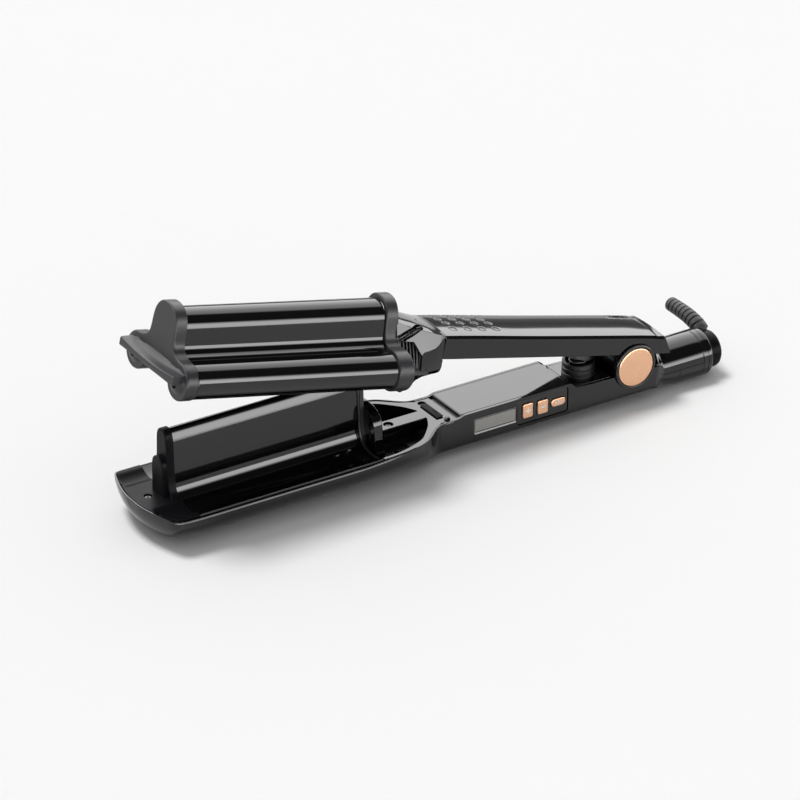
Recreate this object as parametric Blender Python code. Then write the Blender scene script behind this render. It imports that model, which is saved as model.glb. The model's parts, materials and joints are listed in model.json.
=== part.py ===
# Hair crimper: triple-barrel waving tong with a ridge plate on the lower arm and a
# three-barrel bell plate on the upper arm, spring-opened on one hinge at the tail.
# Frame: X along the tool (barrels towards -X, cord towards +X), Y width (controls on the
# -Y side), Z up. Origin on the flat underside of the lower handle, straight below the
# hinge axis. "Front" is the -X end, "rear" the +X end; "left" is +Y, "right" is -Y.
# All sizes and tables are in millimetres; meshes and places are scaled to metres.
# The upper arm is drawn closed and swung open by its parent empty.
import bpy
import bmesh
import math

for old in list(bpy.data.objects):
    bpy.data.objects.remove(old, do_unlink=True)

MM = 0.001

# ---------------------------------------------------------------- driving dimensions
HINGE_Z = 17.1                        # hinge axis height above the handle underside
OPEN_DEG = 12.8                       # arm opening at rest
RIM_Z = 17.3                          # rim of the barrel tray
HULL_W = 30.4                         # half width of the barrel tray
HAND_W = 14.5                         # half width of both handles
WALL = 1.5                            # side wall of the lower handle
LIP = 0.65                            # lip of the tray around the plate
FRAME_INSET = 0.95                    # front cap and neck frame, in from the tray rim
GAP = 0.3                             # joint between neighbouring parts
PLATE_X0, PLATE_X1 = -262.0, -159.0   # lower barrel plate
PLATE_THICK = 1.1
BELL_X0, BELL_X1 = -269.8, -156.2     # upper barrel
LOBE_Y, LOBE_Z, LOBE_R = 19.5, 24.5, 9.0        # side barrels of the bell
BELL_TOP, BELL_R = 54.0, 8.6          # crown of the middle barrel
PIN_R = 3.0                           # hinge pin
EAR_R = 12.0                          # hinge ears of the lower housing
SKIRT_R = EAR_R + 0.5                 # clearance for the ears in the upper handle
TAIL_R, TAIL_Z, TAIL_X1 = 12.4, 5.5, 45.5       # round tail: radius, axis, rear end
DRUM_R, DRUM_X0, DRUM_X1 = 9.75, 52.1, 60.0     # cord swivel drum
SPRING_X = -24.5                      # axis of the opening spring
NECK_SCREW_X = -138                   # screw hole in the neck frame and post below it
HINGE = (0, 0, HINGE_Z)
TAIL = (0, 0, TAIL_Z)
SIDES = (("right", -1), ("left", 1))


# ---------------------------------------------------------------- solids as (verts, faces)
def loft(sections, closed=False):
    """Solid through equal-length loops: ends capped, or joined to each other if closed."""
    count, size = len(sections), len(sections[0])
    verts = [point for section in sections for point in section]
    faces = []
    for k in range(count if closed else count - 1):
        a, b = k * size, (k + 1) % count * size
        for i in range(size):
            j = (i + 1) % size
            faces.append((a + i, a + j, b + j, b + i))
    if not closed:
        faces.append(tuple(range(size)))
        faces.append(tuple((count - 1) * size + i for i in range(size)))
    return verts, faces


def at_x(x, profile):
    return [(x, y, z) for y, z in profile]


def moved_to(x, section):
    return [(x, y, z) for _, y, z in section]


def extrude_x(profile, x0, x1):
    return loft([at_x(x0, profile), at_x(x1, profile)])


def extrude_y(profile, y0, y1):
    return loft([[(x, y, z) for x, z in profile] for y in (y0, y1)])


def extrude_z(profile, z0, z1):
    return loft([[(x, y, z) for x, y in profile] for z in (z0, z1)])


def box(x, y, z):
    """Box from three (low, high) pairs."""
    return extrude_x([(y[0], z[0]), (y[1], z[0]), (y[1], z[1]), (y[0], z[1])], *x)


def rounded_rect(cu, cv, half_u, half_v, radius, steps=3):
    points = []
    for k, (su, sv) in enumerate(((1, 1), (-1, 1), (-1, -1), (1, -1))):
        for i in range(steps + 1):
            a = math.pi / 2 * (k + i / steps)
            points.append((cu + su * (half_u - radius) + radius * math.cos(a),
                           cv + sv * (half_v - radius) + radius * math.sin(a)))
    return points


def turned_point(along, radius, step, sides, centre, axis):
    t = 2 * math.pi * (step + 0.5) / sides
    u, v = radius * math.cos(t), radius * math.sin(t)
    offset = {"x": (along, u, v), "y": (u, along, v), "z": (u, v, along)}[axis]
    return tuple(c + o for c, o in zip(centre, offset))


def turned(profile, centre, axis, sides):
    """Solid turned about an axis through centre. profile = [(along, radius)]."""
    return loft([[turned_point(a, r, i, sides, centre, axis) for i in range(sides)]
                 for a, r in profile])


def turned_ring(profile, centre, axis, sides):
    """Ring turned about an axis: profile is a closed loop of (along, radius)."""
    return loft([[turned_point(a, r, i, sides, centre, axis) for a, r in profile]
                 for i in range(sides)], closed=True)


def rod(span, radius, centre, axis, sides):
    return turned([(a, radius) for a in span], centre, axis, sides)


def tube(span, r_in, r_out, centre, axis, sides):
    a0, a1 = span
    return turned_ring([(a0, r_in), (a0, r_out), (a1, r_out), (a1, r_in)], centre, axis, sides)


def mirrored(half):
    """Whole (y, z) loop from its +Y half."""
    return half + [(-y, z) for y, z in reversed(half) if y > 1e-6]


def mirrored_plan(half):
    """Whole (x, y) loop from its +Y half."""
    return half + [(x, -y) for x, y in reversed(half) if y > 1e-6]


def shell_profile(outer, inner):
    """Closed loop: outer half profile over the top and back along the inner one."""
    outer_left = [(-y, z) for y, z in outer if y > 1e-6]
    inner_right = [(y, z) for y, z in inner if y > 1e-6]
    inner_left = [(-y, z) for y, z in inner_right]
    return outer_left[::-1] + outer + inner_right[::-1] + [(0.0, inner[0][1])] + inner_left


def scaled_section(x, half, base_z, scale_y, scale_z):
    """Mirrored section at x, scaled about (0, base_z)."""
    return [(x, y * scale_y, base_z + (z - base_z) * scale_z) for y, z in mirrored(half)]


def side_span(side, near, far):
    """Y range of a feature between two distances from the middle, on one side."""
    return sorted((side * near, side * far))


# ---------------------------------------------------------------- objects
def build_mesh(name, solid, origin):
    mesh = bpy.data.meshes.new(name)
    verts, faces = solid
    mesh.from_pydata([[(p[i] - origin[i]) * MM for i in range(3)] for p in verts], [], faces)
    bm = bmesh.new()
    bm.from_mesh(mesh)
    bmesh.ops.remove_doubles(bm, verts=bm.verts, dist=1e-6)
    bmesh.ops.recalc_face_normals(bm, faces=bm.faces)
    bm.to_mesh(mesh)
    bm.free()
    return mesh


def link_object(name, data):
    ob = bpy.data.objects.new(name, data)
    bpy.context.scene.collection.objects.link(ob)
    return ob


class Part:
    """One piece: a mesh that is cut or added to, then placed under its frame by finish."""

    def __init__(self, name, solid, material, frame, origin=None):
        self.name, self.material, self.frame = name, material, frame
        self.origin = origin or tuple(frame["at"])
        self.ob = link_object(name, build_mesh(name, solid, self.origin))

    def _boolean(self, solid, operation):
        tool = link_object("tool", build_mesh("tool", solid, self.origin))
        tool.hide_render = True
        modifier = self.ob.modifiers.new("b", "BOOLEAN")
        modifier.operation = operation
        modifier.solver = "EXACT"
        modifier.object = tool
        bpy.context.view_layer.update()
        graph = bpy.context.evaluated_depsgraph_get()
        result = bpy.data.meshes.new_from_object(self.ob.evaluated_get(graph), depsgraph=graph)
        self.ob.modifiers.clear()
        self.ob.data = result
        bpy.data.objects.remove(tool, do_unlink=True)

    def cut(self, solid):
        self._boolean(solid, "DIFFERENCE")

    def add(self, solid):
        self._boolean(solid, "UNION")

    def finish(self, crease_deg=35.0):
        """Clean up, shade smooth with edges sharp above crease_deg, and place."""
        mesh = self.ob.data
        mesh.name = self.name
        bm = bmesh.new()
        bm.from_mesh(mesh)
        bmesh.ops.remove_doubles(bm, verts=bm.verts, dist=2e-6)
        bmesh.ops.dissolve_degenerate(bm, edges=bm.edges, dist=2e-6)
        for face in bm.faces:
            face.smooth = True
        crease = math.radians(crease_deg)
        for edge in bm.edges:
            edge.smooth = not (len(edge.link_faces) == 2 and edge.calc_face_angle(0.0) > crease)
        bm.to_mesh(mesh)
        bm.free()
        mesh.materials.clear()
        mesh.materials.append(self.material)
        self.ob.parent = self.frame
        self.ob.location = [(self.origin[i] - self.frame["at"][i]) * MM for i in range(3)]


def frame_empty(name, at, rotation=(0, 0, 0)):
    frame = link_object(name, None)
    frame.location = [v * MM for v in at]
    frame.rotation_euler = rotation
    frame["at"] = at
    return frame


def make_material(name, rgb, roughness, metallic=0.0):
    material = bpy.data.materials.new(name)
    material.use_nodes = True
    shader = material.node_tree.nodes["Principled BSDF"]
    shader.inputs["Base Color"].default_value = (*rgb, 1.0)
    shader.inputs["Roughness"].default_value = roughness
    shader.inputs["Metallic"].default_value = metallic
    material.diffuse_color = (*rgb, 1.0)
    return material


GLOSS = make_material("gloss_black_shell", rgb=(0.012, 0.012, 0.014), roughness=0.12)
SATIN = make_material("satin_black_cap", rgb=(0.045, 0.045, 0.048), roughness=0.48)
COAT = make_material("titanium_coated_barrel", rgb=(0.03, 0.03, 0.034), roughness=0.2,
                     metallic=0.6)
COPPER = make_material("rose_gold_trim", rgb=(0.80, 0.50, 0.36), roughness=0.3, metallic=0.7)
PANEL = make_material("panel_black", rgb=(0.02, 0.02, 0.022), roughness=0.4)
LCD_GLASS = make_material("lcd_glass_grey", rgb=(0.33, 0.32, 0.29), roughness=0.18)
STEEL = make_material("steel", rgb=(0.6, 0.6, 0.62), roughness=0.3, metallic=1.0)
RUBBER = make_material("rubber_black", rgb=(0.025, 0.025, 0.027), roughness=0.6)
BOARD = make_material("board_green", rgb=(0.03, 0.16, 0.07), roughness=0.5)
CERAMIC = make_material("ceramic_heater", rgb=(0.8, 0.78, 0.74), roughness=0.6)
SHIELD = make_material("aluminium_shield", rgb=(0.62, 0.62, 0.6), roughness=0.4, metallic=1.0)
NYLON = make_material("inner_black", rgb=(0.03, 0.03, 0.03), roughness=0.55)
BRASS = make_material("brass_contact", rgb=(0.75, 0.56, 0.25), roughness=0.3, metallic=1.0)
WHITE = make_material("white_plastic", rgb=(0.78, 0.78, 0.76), roughness=0.5)

ROOT = frame_empty("lower_arm_frame", (0, 0, 0))
ARM = frame_empty("upper_arm_axis", HINGE, (0, math.radians(OPEN_DEG), 0))
SWIVEL = frame_empty("cord_swivel_axis", (DRUM_X0, 0, TAIL_Z))

# ---------------------------------------------------------------- lower housing
# x, half width, top z, bottom z, share of handle shape, share of tail shape
LOW = [
    (-283.0, 5.0, RIM_Z, 12.6, 0, 0), (-282.4, 9.8, RIM_Z, 10.2, 0, 0),
    (-281.4, 14.2, RIM_Z, 7.9, 0, 0), (-279.9, 19.6, RIM_Z, 5.5, 0, 0),
    (-278.3, 24.2, RIM_Z, 3.6, 0, 0), (-277.0, 27.4, RIM_Z, 2.4, 0, 0),
    (-275.5, 29.5, RIM_Z, 1.3, 0, 0), (-272.4, HULL_W, RIM_Z, -0.1, 0, 0),
    (-266.0, HULL_W, RIM_Z, -1.4, 0, 0), (-256.0, HULL_W, RIM_Z, -2.2, 0, 0),
    (-238.0, HULL_W, RIM_Z, -2.6, 0, 0), (-205.0, HULL_W, RIM_Z, -2.4, 0, 0),
    (-158.0, HULL_W, RIM_Z, -2.0, 0, 0), (-148.0, 29.9, RIM_Z, -1.7, 0.05, 0),
    (-137.4, 28.0, RIM_Z, -1.2, 0.2, 0), (-129.9, 25.0, 17.2, -0.7, 0.4, 0),
    (-124.5, 20.6, 17.1, -0.3, 0.7, 0), (-120.5, 17.2, 17.0, 0, 0.9, 0),
    (-115.5, 14.9, 16.9, 0, 1, 0), (-105.7, HAND_W, 17.1, 0, 1, 0),
    (-101.6, HAND_W, 18.2, 0, 1, 0), (-39.6, HAND_W, 18.2, 0, 1, 0),
    (-34.6, HAND_W, 14.7, 0, 1, 0), (-12.5, HAND_W, 14.0, 0, 1, 0),
    (8.5, HAND_W, 13.0, 0, 1, 0), (14.0, 14.4, 12.8, -0.5, 0.9, 0.1),
    (22.0, 13.8, 12.2, -3.4, 0.5, 0.5), (30.0, 12.8, 11.2, -6.2, 0.1, 0.9),
    (34.0, TAIL_R, TAIL_Z, TAIL_Z - TAIL_R, 0, 1),
    (TAIL_X1, TAIL_R, TAIL_Z, TAIL_Z - TAIL_R, 0, 1),
]
HALF_POINTS = 9
BARREL_POWER = 2 / 2.15               # superellipse exponent of the tray section

# centre x, centre z, half length, half height
LCD_RECT = (-84.05, 10.1, 12.55, 3.8)
PANEL_RECT = (-55.55, 10.0, 14.95, 6.6)


def half_section(width, top, bottom, hand, tail, corner=2.6):
    """Half of the open-top section, from the rim (width, top) down to the bottom.

    Blends three shapes: tray superellipse, handle with round corners, round tail.
    """
    points = []
    axis_z = min(top, TAIL_Z)
    tray = max(0.0, 1 - hand - tail)
    for i in range(HALF_POINTS):
        u = i / (HALF_POINTS - 1)
        last = i == HALF_POINTS - 1
        a = u * math.radians(84)
        tray_y = width * abs(math.cos(a)) ** BARREL_POWER
        tray_z = bottom if last else top - (top - bottom) * abs(math.sin(a)) ** BARREL_POWER
        if u < 0.5:
            hand_y = width
            hand_z = top + (bottom + corner - top) * (u / 0.5)
        else:
            b = (u - 0.5) / 0.5 * math.pi / 2
            hand_y = width - corner + corner * math.cos(b)
            hand_z = bottom + corner - corner * math.sin(b)
        c = u * math.radians(82)
        tail_y = width * math.cos(c)
        tail_z = axis_z - (axis_z - bottom) * math.sin(c)
        if i == 0:
            tail_z = top
        if last:
            tail_z = bottom
        points.append((tray * tray_y + hand * hand_y + tail * tail_y,
                       tray * tray_z + hand * hand_z + tail * tail_z))
    return points


def rim_offset(i, inset):
    """Rim station i moved inwards along the plan normal: x, half width."""
    x, width = LOW[i][:2]
    if i == 0:
        dx, dw = 0.4, 5.0
    else:
        dx, dw = LOW[i + 1][0] - LOW[i - 1][0], LOW[i + 1][1] - LOW[i - 1][1]
    length = math.hypot(dx, dw)
    return x + inset * dw / length, width - inset * dx / length


def housing_cavity():
    """Hollow of the housing, open at the top and through the tail end."""
    sections = []
    for i, (x, width, top, bottom, hand, tail) in enumerate(LOW[:-1]):
        x_in, w_in = rim_offset(i, 1.4) if x < -160 else (x, width - WALL)
        floor = min(bottom + 1.3, 14.6) if x < -268 else bottom + 1.9
        half = half_section(w_in, top, floor, hand, tail, corner=1.6)
        sections.append(at_x(x_in, mirrored([(half[0][0], top + 6)] + half)))
    sections.append(moved_to(TAIL_X1 + 1.0, sections[-1]))
    return loft(sections)


def lower_housing():
    outer = loft([at_x(x, mirrored(half_section(*shape))) for x, *shape in LOW])
    part = Part("lower_housing", outer, GLOSS, ROOT)
    part.cut(housing_cavity())
    # step inside the tray rim, closed across the handle
    recess_x1 = -114.0
    rim = [rim_offset(i, LIP) for i, station in enumerate(LOW) if station[0] < recess_x1]
    recess = [(LOW[0][0] + LIP, 0.0)] + rim + [(recess_x1, HAND_W - LIP)]
    part.cut(extrude_z(mirrored_plan(recess), 15.2, 24.0))
    # hinge ears, each a web with a disc on the hinge axis
    web = [(-10.6, 3.0), (10.6, 3.0), (10.2, HINGE_Z - 2), (-10.2, HINGE_Z - 2)]
    for side in (1, -1):
        part.add(extrude_y(web, *side_span(side, 11.8, 13.9)))
        part.add(rod(side_span(side, 11.5, 14.57), EAR_R, HINGE, "y", 36))
    part.cut(rod((-16, 16), PIN_R + 0.25, HINGE, "y", 16))
    # windows for the display and the button panel in the -Y wall
    for (x, z, half_x, half_z), radius in ((LCD_RECT, 0.8), (PANEL_RECT, 1.5)):
        window = rounded_rect(x, z, half_x + GAP, half_z + GAP, radius, 2)
        part.cut(extrude_y(window, -16, -11.5))
    part.finish()


# ---------------------------------------------------------------- lower barrel plate
# outer half profile (y, z) from the crown of the ridge to the tray edge
RIDGE = [
    (0, 50.3), (1.6, 49.95), (2.8, 48.9), (3.45, 47.2), (3.7, 44.5), (3.95, 38.5),
    (4.35, 33.0), (4.9, 27.4), (5.7, 23.0), (7.0, 19.4), (8.9, 16.7), (11.6, 14.8),
    (15.2, 13.8), (19.2, 13.7), (23.0, 14.3), (26.6, 15.5), (29.4, 16.7),
]
RIDGE_INNER_END = [(26.9, 14.3), (29.3, 15.75)]


def lower_barrel_plate():
    inner = [(0.0, RIDGE[0][1] - PLATE_THICK)]
    for before, (y, z), after in zip(RIDGE, RIDGE[1:], RIDGE[2:-1]):
        dy, dz = after[0] - before[0], after[1] - before[1]
        length = math.hypot(dy, dz)
        inner.append((y + dz / length * PLATE_THICK, z - dy / length * PLATE_THICK))
    profile = shell_profile(RIDGE, inner + RIDGE_INNER_END)
    Part("lower_barrel_plate", extrude_x(profile, PLATE_X0, PLATE_X1), COAT, ROOT).finish()


def lower_heater():
    element = box(x=(-252, -172), y=(-1.4, 1.4), z=(21.0, 43.0))
    Part("lower_heater_element", element, CERAMIC, ROOT).finish()
    clip = box(x=(-246, -178), y=(-2.0, 2.0), z=(18.6, 20.6))
    Part("lower_heater_clip", clip, STEEL, ROOT).finish()
    thermistor = rod((-172, -165), 0.9, (0, 0, 24.0), "x", 8)
    Part("lower_thermistor", thermistor, WHITE, ROOT).finish()
    # shallow tray section (y, z) with turned-up edges
    shield = [(-18.5, 9.2), (18.5, 9.2), (20.5, 11.6), (19.8, 12.0), (18.0, 10.0),
              (-18.0, 10.0), (-19.8, 12.0), (-20.5, 11.6)]
    Part("lower_heat_shield", extrude_x(shield, -258, -166), SHIELD, ROOT).finish()


# ---------------------------------------------------------------- lower end caps
# half profile (y, z) of the end column, a little wider than the ridge
COLUMN = [
    (0, 51.0), (2.2, 50.6), (3.7, 49.4), (4.5, 47.4), (4.9, 43.5), (5.1, 38.0),
    (5.3, 32.0), (5.6, 27.0), (6.2, 23.0), (7.6, 19.6), (9.4, 17.3), (10.6, 15.9),
]
COLUMN_BASE_Z = 17.4                  # the column tapers in height above this only
CAP_REAR_X = -262.32                  # rear face of the beds and column of the front cap
# half profile (y, z) of the low pad in front of the column
PAD_BASE_Z = 16.2
PAD = [(5.7, PAD_BASE_Z), (5.3, 24.0), (5.2, 32.0), (4.7, 34.2), (3.0, 36.0), (0.0, 36.7)]


def barrel_nest(side):
    """Dish that clears the nose of an upper side barrel when the tong is shut."""
    sections = []
    for x, r in ((-262.0, 10.0), (-271.0, 9.9), (-273.9, 9.75), (-275.6, 9.0), (-277.0, 7.8)):
        angles = [math.pi + math.pi * i / 14 for i in range(15)]
        sections.append([(x, side * LOBE_Y + r * math.cos(a), LOBE_Z + r * math.sin(a))
                         for a in angles])
    return loft(sections)


def barrel_bed(side):
    """Tapered block under a nest; stations are x, half width, bottom z."""
    y = side * LOBE_Y
    top = 15.9
    return loft([
        [(x, y - h, top), (x, y - h + 1.0, z), (x, y + h - 1.0, z), (x, y + h, top)]
        for x, h, z in ((CAP_REAR_X, 7.9, 13.1), (-272.5, 7.6, 13.3), (-276.6, 4.5, 15.0))])


def column_section(x, shrink):
    points = []
    for y, z in mirrored(COLUMN):
        if z >= COLUMN_BASE_Z:
            z -= shrink * (z - COLUMN_BASE_Z) / (COLUMN[0][1] - COLUMN_BASE_Z)
        points.append((x, y * (1 - shrink / 6.0), z))
    return points


def lower_front_cap():
    edge_y = HULL_W - FRAME_INSET
    deck = [(-281.75, 0.0)] + [rim_offset(i, FRAME_INSET) for i in range(8)]
    deck += [(-266.0, edge_y), (PLATE_X0 - GAP, edge_y)]
    part = Part("lower_front_cap", extrude_z(mirrored_plan(deck), 15.6, 16.9), SATIN, ROOT)
    for side in (1, -1):
        part.add(barrel_bed(side))
    for side in (1, -1):
        part.cut(barrel_nest(side))
    stations = ((CAP_REAR_X, 0), (-265.1, 0), (-265.8, 0.35), (-266.2, 1.1))
    part.add(loft([column_section(x, shrink) for x, shrink in stations]))
    stations = ((-264.6, 1.0, 1.0), (-268.0, 1.0, 1.0), (-268.7, 0.9, 0.975))
    part.add(loft([scaled_section(x, PAD, PAD_BASE_Z, ky, kz) for x, ky, kz in stations]))
    # shallow round recess in the deck, ahead of the pad
    part.cut(rod((16.2, 18), 1.9, (-274.2, 0, 0), "z", 12))
    part.finish()


# half profile (y, z) of the arch behind the plate
ARCH_BASE_Z = 9.0
ARCH = [
    (0, 34.4), (5.6, 34.1), (9.6, 32.9), (12.8, 30.4), (14.6, 27.2), (15.4, 22.0),
    (16.4, 16.8), (17.6, 12.6), (17.6, ARCH_BASE_Z),
]


def lower_rear_cap():
    # slice of the ridge, a hair wider, running down to a foot
    strip = [RIDGE[0]]
    strip += [(y + 0.02, z) for y, z in RIDGE[1:-2] + [(22.6, 11.0), (19.0, 9.4)]]
    part = Part("lower_rear_cap", extrude_x(mirrored(strip), PLATE_X1 + GAP, -156.6),
                SATIN, ROOT)
    part.add(extrude_x(mirrored(COLUMN[:9] + [(6.2, 12.0)]), -157.6, -155.4))
    stations = ((-155.4, 1.0), (-151.4, 1.0), (-150.4, 0.955))
    part.add(loft([scaled_section(x, ARCH, ARCH_BASE_Z, k, k) for x, k in stations]))
    part.finish()


# ---------------------------------------------------------------- lower neck
# half plans (x, y)
OPENING = [(-161.0, 27.3), (-148.6, 26.8), (-138.6, 24.6), (-131.6, 21.4), (-126.6, 16.6),
           (-121.8, 11.0), (-118.4, 5.0)]
WELL = [(-150.4, 20.5), (-139.0, 20.0), (-131.0, 17.4), (-126.0, 13.6), (-121.0, 10.2),
        (-117.0, 9.0)]


def lower_neck_frame():
    outline = [(-158.6, HULL_W - FRAME_INSET)]
    outline += [rim_offset(i, FRAME_INSET) for i, station in enumerate(LOW)
                if -157 < station[0] < -116]
    outline += [(-115.0, 12.9), (-106.2, 12.7)]
    part = Part("lower_neck_frame", extrude_z(mirrored_plan(outline), 15.5, 16.8), GLOSS, ROOT)
    part.cut(extrude_z(mirrored_plan(OPENING), 13.0, 19.0))
    # lengthwise bar across the opening, with a shallow screw hole
    part.add(box(x=(-150.1, -117.0), y=(-4.0, 4.0), z=(14.9, 16.78)))
    part.cut(rod((16.0, 18), 2.0, (NECK_SCREW_X, 0, 0), "z", 12))
    part.finish()


def lower_well_tray():
    part = Part("lower_well_tray", extrude_z(mirrored_plan(WELL), 5.4, 7.0), NYLON, ROOT)
    part.add(rod((6.2, 14.6), 3.4, (NECK_SCREW_X, 0, 0), "z", 16))
    part.add(tube((6.2, 12.0), 5.4, 7.0, (-140, -12.4, 0), "z", 18))
    part.finish()


def neck_fittings():
    strip = box(x=(-114.6, -110.9), y=(-8.0, 7.6), z=(17.1, 17.7))
    Part("neck_vent_strip", strip, RUBBER, ROOT).finish()
    hook = [(-109.6, 17.1), (-107.0, 17.1), (-107.0, 18.6), (-108.2, 19.2), (-109.6, 18.4)]
    Part("neck_latch_hook", extrude_y(hook, -11.8, -9.6), SATIN, ROOT).finish()


# ---------------------------------------------------------------- lower handle
# side profile (x, z): along the outside, then back along the underside
COVER = [
    (-105.6, 15.0), (-105.6, 17.0), (-102.2, 18.2), (-39.9, 18.2), (-34.8, 14.7),
    (-12.9, 14.2), (-12.9, 12.6), (-35.4, 12.8), (-40.6, 16.4), (-101.6, 16.4),
]


def lower_handle_cover():
    part = Part("lower_handle_cover", extrude_y(COVER, -12.7, 12.7), GLOSS, ROOT)
    # round recess in the underside, below the spring
    part.cut(rod((12.0, 13.4), 6.1, (SPRING_X, 0, 0), "z", 20))
    part.finish()


def coil(radius, wire_r, z0, z1, turns, steps=12, sides=6):
    """Round wire wound about the vertical spring axis."""
    sections = []
    total = int(turns * steps)
    for k in range(total + 1):
        t = 2 * math.pi * k / steps
        z = z0 + (z1 - z0) * (k / total)
        section = []
        for i in range(sides):
            a = 2 * math.pi * i / sides
            r = radius + wire_r * math.cos(a)
            section.append((SPRING_X + r * math.cos(t), r * math.sin(t),
                            z + wire_r * math.sin(a)))
        sections.append(section)
    return loft(sections)


def opening_spring():
    seat = tube((14.75, 15.35), 2.2, 6.6, (SPRING_X, 0, 0), "z", 20)
    Part("spring_seat", seat, NYLON, ROOT).finish()
    spring = coil(radius=4.6, wire_r=0.65, z0=16.3, z1=25.4, turns=4.5)
    Part("opening_spring", spring, STEEL, ROOT).finish(60)


# ---------------------------------------------------------------- controls, -Y side
# centre x, centre z, half length, half height, corner radius
BUTTONS = {
    "plus": (-64.8, 10.25, 3.0, 3.95, 1.1),
    "minus": (-55.8, 9.9, 3.1, 3.8, 1.1),
    "power": (-46.5, 10.0, 4.3, 2.1, 2.0),
}
BUTTON_BACK_Y = -12.35
SWITCH_HALF = 1.9


def control_panel():
    part = Part("control_panel", extrude_y(rounded_rect(*PANEL_RECT, 1.3, 2), -14.05, -12.95),
                PANEL, ROOT)
    for x, z, half_x, half_z, radius in BUTTONS.values():
        hole = rounded_rect(x, z, half_x + GAP, half_z + GAP, radius + 0.2)
        part.cut(extrude_y(hole, -15, -12))
    part.finish()


def buttons():
    """Buttons with bevelled faces, and a square switch behind each."""
    bevel = 0.35
    for name, (x, z, half_x, half_z, radius) in BUTTONS.items():
        body = rounded_rect(x, z, half_x, half_z, radius)
        face = rounded_rect(x, z, half_x - bevel, half_z - bevel, max(radius - 0.3, 0.4))
        stations = ((BUTTON_BACK_Y, body), (-14.6, body), (-14.95, face))
        solid = loft([[(px, y, pz) for px, pz in outline] for y, outline in stations])
        Part("button_" + name, solid, COPPER, ROOT, (x, BUTTON_BACK_Y, z)).finish()
        switch = box(x=(x - SWITCH_HALF, x + SWITCH_HALF), y=(-11.6, -10.85),
                     z=(z - SWITCH_HALF, z + SWITCH_HALF))
        Part("switch_" + name, switch, STEEL, ROOT).finish()


def electronics():
    window = extrude_y(rounded_rect(*LCD_RECT, 0.6, 2), -14.3, -13.4)
    Part("lcd_window", window, LCD_GLASS, ROOT).finish()
    module = box(x=(-97.2, -70.9), y=(-12.6, -10.9), z=(5.0, 15.2))
    Part("lcd_module", module, WHITE, ROOT).finish()
    control = box(x=(-98.5, -40.5), y=(-10.6, -9.3), z=(3.2, 15.6))
    Part("control_board", control, BOARD, ROOT).finish()
    power = Part("power_board", box(x=(-98.0, -44.0), y=(-8.4, 11.6), z=(2.6, 4.2)), BOARD, ROOT)
    power.add(box(x=(-92, -80), y=(-4, 6), z=(3.9, 12.0)))
    power.add(box(x=(-70, -62), y=(-2, 8), z=(3.9, 10.5)))
    power.finish()


# ---------------------------------------------------------------- hinge
# profiles (distance from the middle, radius)
BEZEL = [(14.75, 10.4), (14.75, 12.1), (15.6, 12.1), (16.05, 11.6), (16.05, 10.7), (15.8, 10.4)]
HINGE_CAP = [(14.8, 10.05), (15.9, 10.05), (16.1, 9.7), (16.35, 5.0), (16.4, 0.6)]


def hinge():
    Part("hinge_pin", rod((-14.2, 14.2), PIN_R, HINGE, "y", 16), STEEL, ROOT).finish()
    for tag, side in SIDES:
        bezel = turned_ring([(side * y, r) for y, r in BEZEL], HINGE, "y", 36)
        Part("hinge_bezel_" + tag, bezel, PANEL, ROOT).finish(30)
        cap = turned([(side * y, r) for y, r in HINGE_CAP], HINGE, "y", 36)
        Part("hinge_cap_" + tag, cap, COPPER, ROOT).finish(40)


# ---------------------------------------------------------------- tail
# x, half width, crown z, side z
TAIL_TOP = [
    (14.3, 14.2, 14.2, 13.1), (18.0, 14.1, 16.0, 13.0), (22.0, 13.6, 16.9, 12.6),
    (27.0, 13.1, 17.4, 11.9), (31.0, 12.75, 17.8, 11.3),
    (34.0, TAIL_R, TAIL_Z + TAIL_R, TAIL_Z + GAP),
    (TAIL_X1, TAIL_R, TAIL_Z + TAIL_R, TAIL_Z + GAP),
]
TAIL_THICK = 1.6


def tail_arch(x, width, crown, side_z, inset):
    """Arch from +Y to -Y: squarish towards the handle, round from x = 33 on."""
    width, crown = width - inset, crown - inset
    steps = 12
    points = []
    for i in range(steps + 1):
        a = math.pi * i / steps
        c, s = math.cos(a), math.sin(a)
        if x < 33:
            power = 0.55
            y = width * math.copysign(abs(c) ** power, c)
            z = side_z + (crown - side_z) * abs(s) ** power
        else:
            y = width * c
            z = TAIL_Z + GAP + (crown - TAIL_Z - GAP) * s
        points.append((x, y, z))
    return points


def tail():
    cover = loft([tail_arch(*station, 0.0) + tail_arch(*station, TAIL_THICK)[::-1]
                  for station in TAIL_TOP])
    Part("tail_cover", cover, GLOSS, ROOT).finish()
    x0, x1, bore = TAIL_X1 + GAP, 51.7, 6.4
    ring = [(x0, bore), (x0, TAIL_R), (50.9, TAIL_R), (x1, TAIL_R - 0.8), (x1, bore)]
    Part("tail_ring", turned_ring(ring, TAIL, "x", 36), GLOSS, ROOT).finish()
    Part("brush_block", rod((35.0, 42.4), 6.5, TAIL, "x", 16), NYLON, ROOT).finish()


# ---------------------------------------------------------------- cord swivel
# drum profile (x, radius)
DRUM = [(44.0, 8.2), (45.3, 8.2), (45.3, 6.0), (DRUM_X0, 6.0), (DRUM_X0 + 0.01, DRUM_R),
        (57.4, DRUM_R), (58.8, 9.2), (59.7, 8.0), (DRUM_X1, 6.2)]
# strain relief: centre line (y, z) in the plane x = RELIEF_X, and the radius at each point
RELIEF_X = 56.4
RELIEF = [(3.6, 10.4), (6.1, 13.4), (9.2, 15.1), (13.5, 16.2), (18.5, 16.9), (24.5, 17.2),
          (33.0, 17.2)]
RELIEF_R = [3.15, 3.15, 4.3, 4.4, 4.25, 4.1, 3.85]


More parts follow.
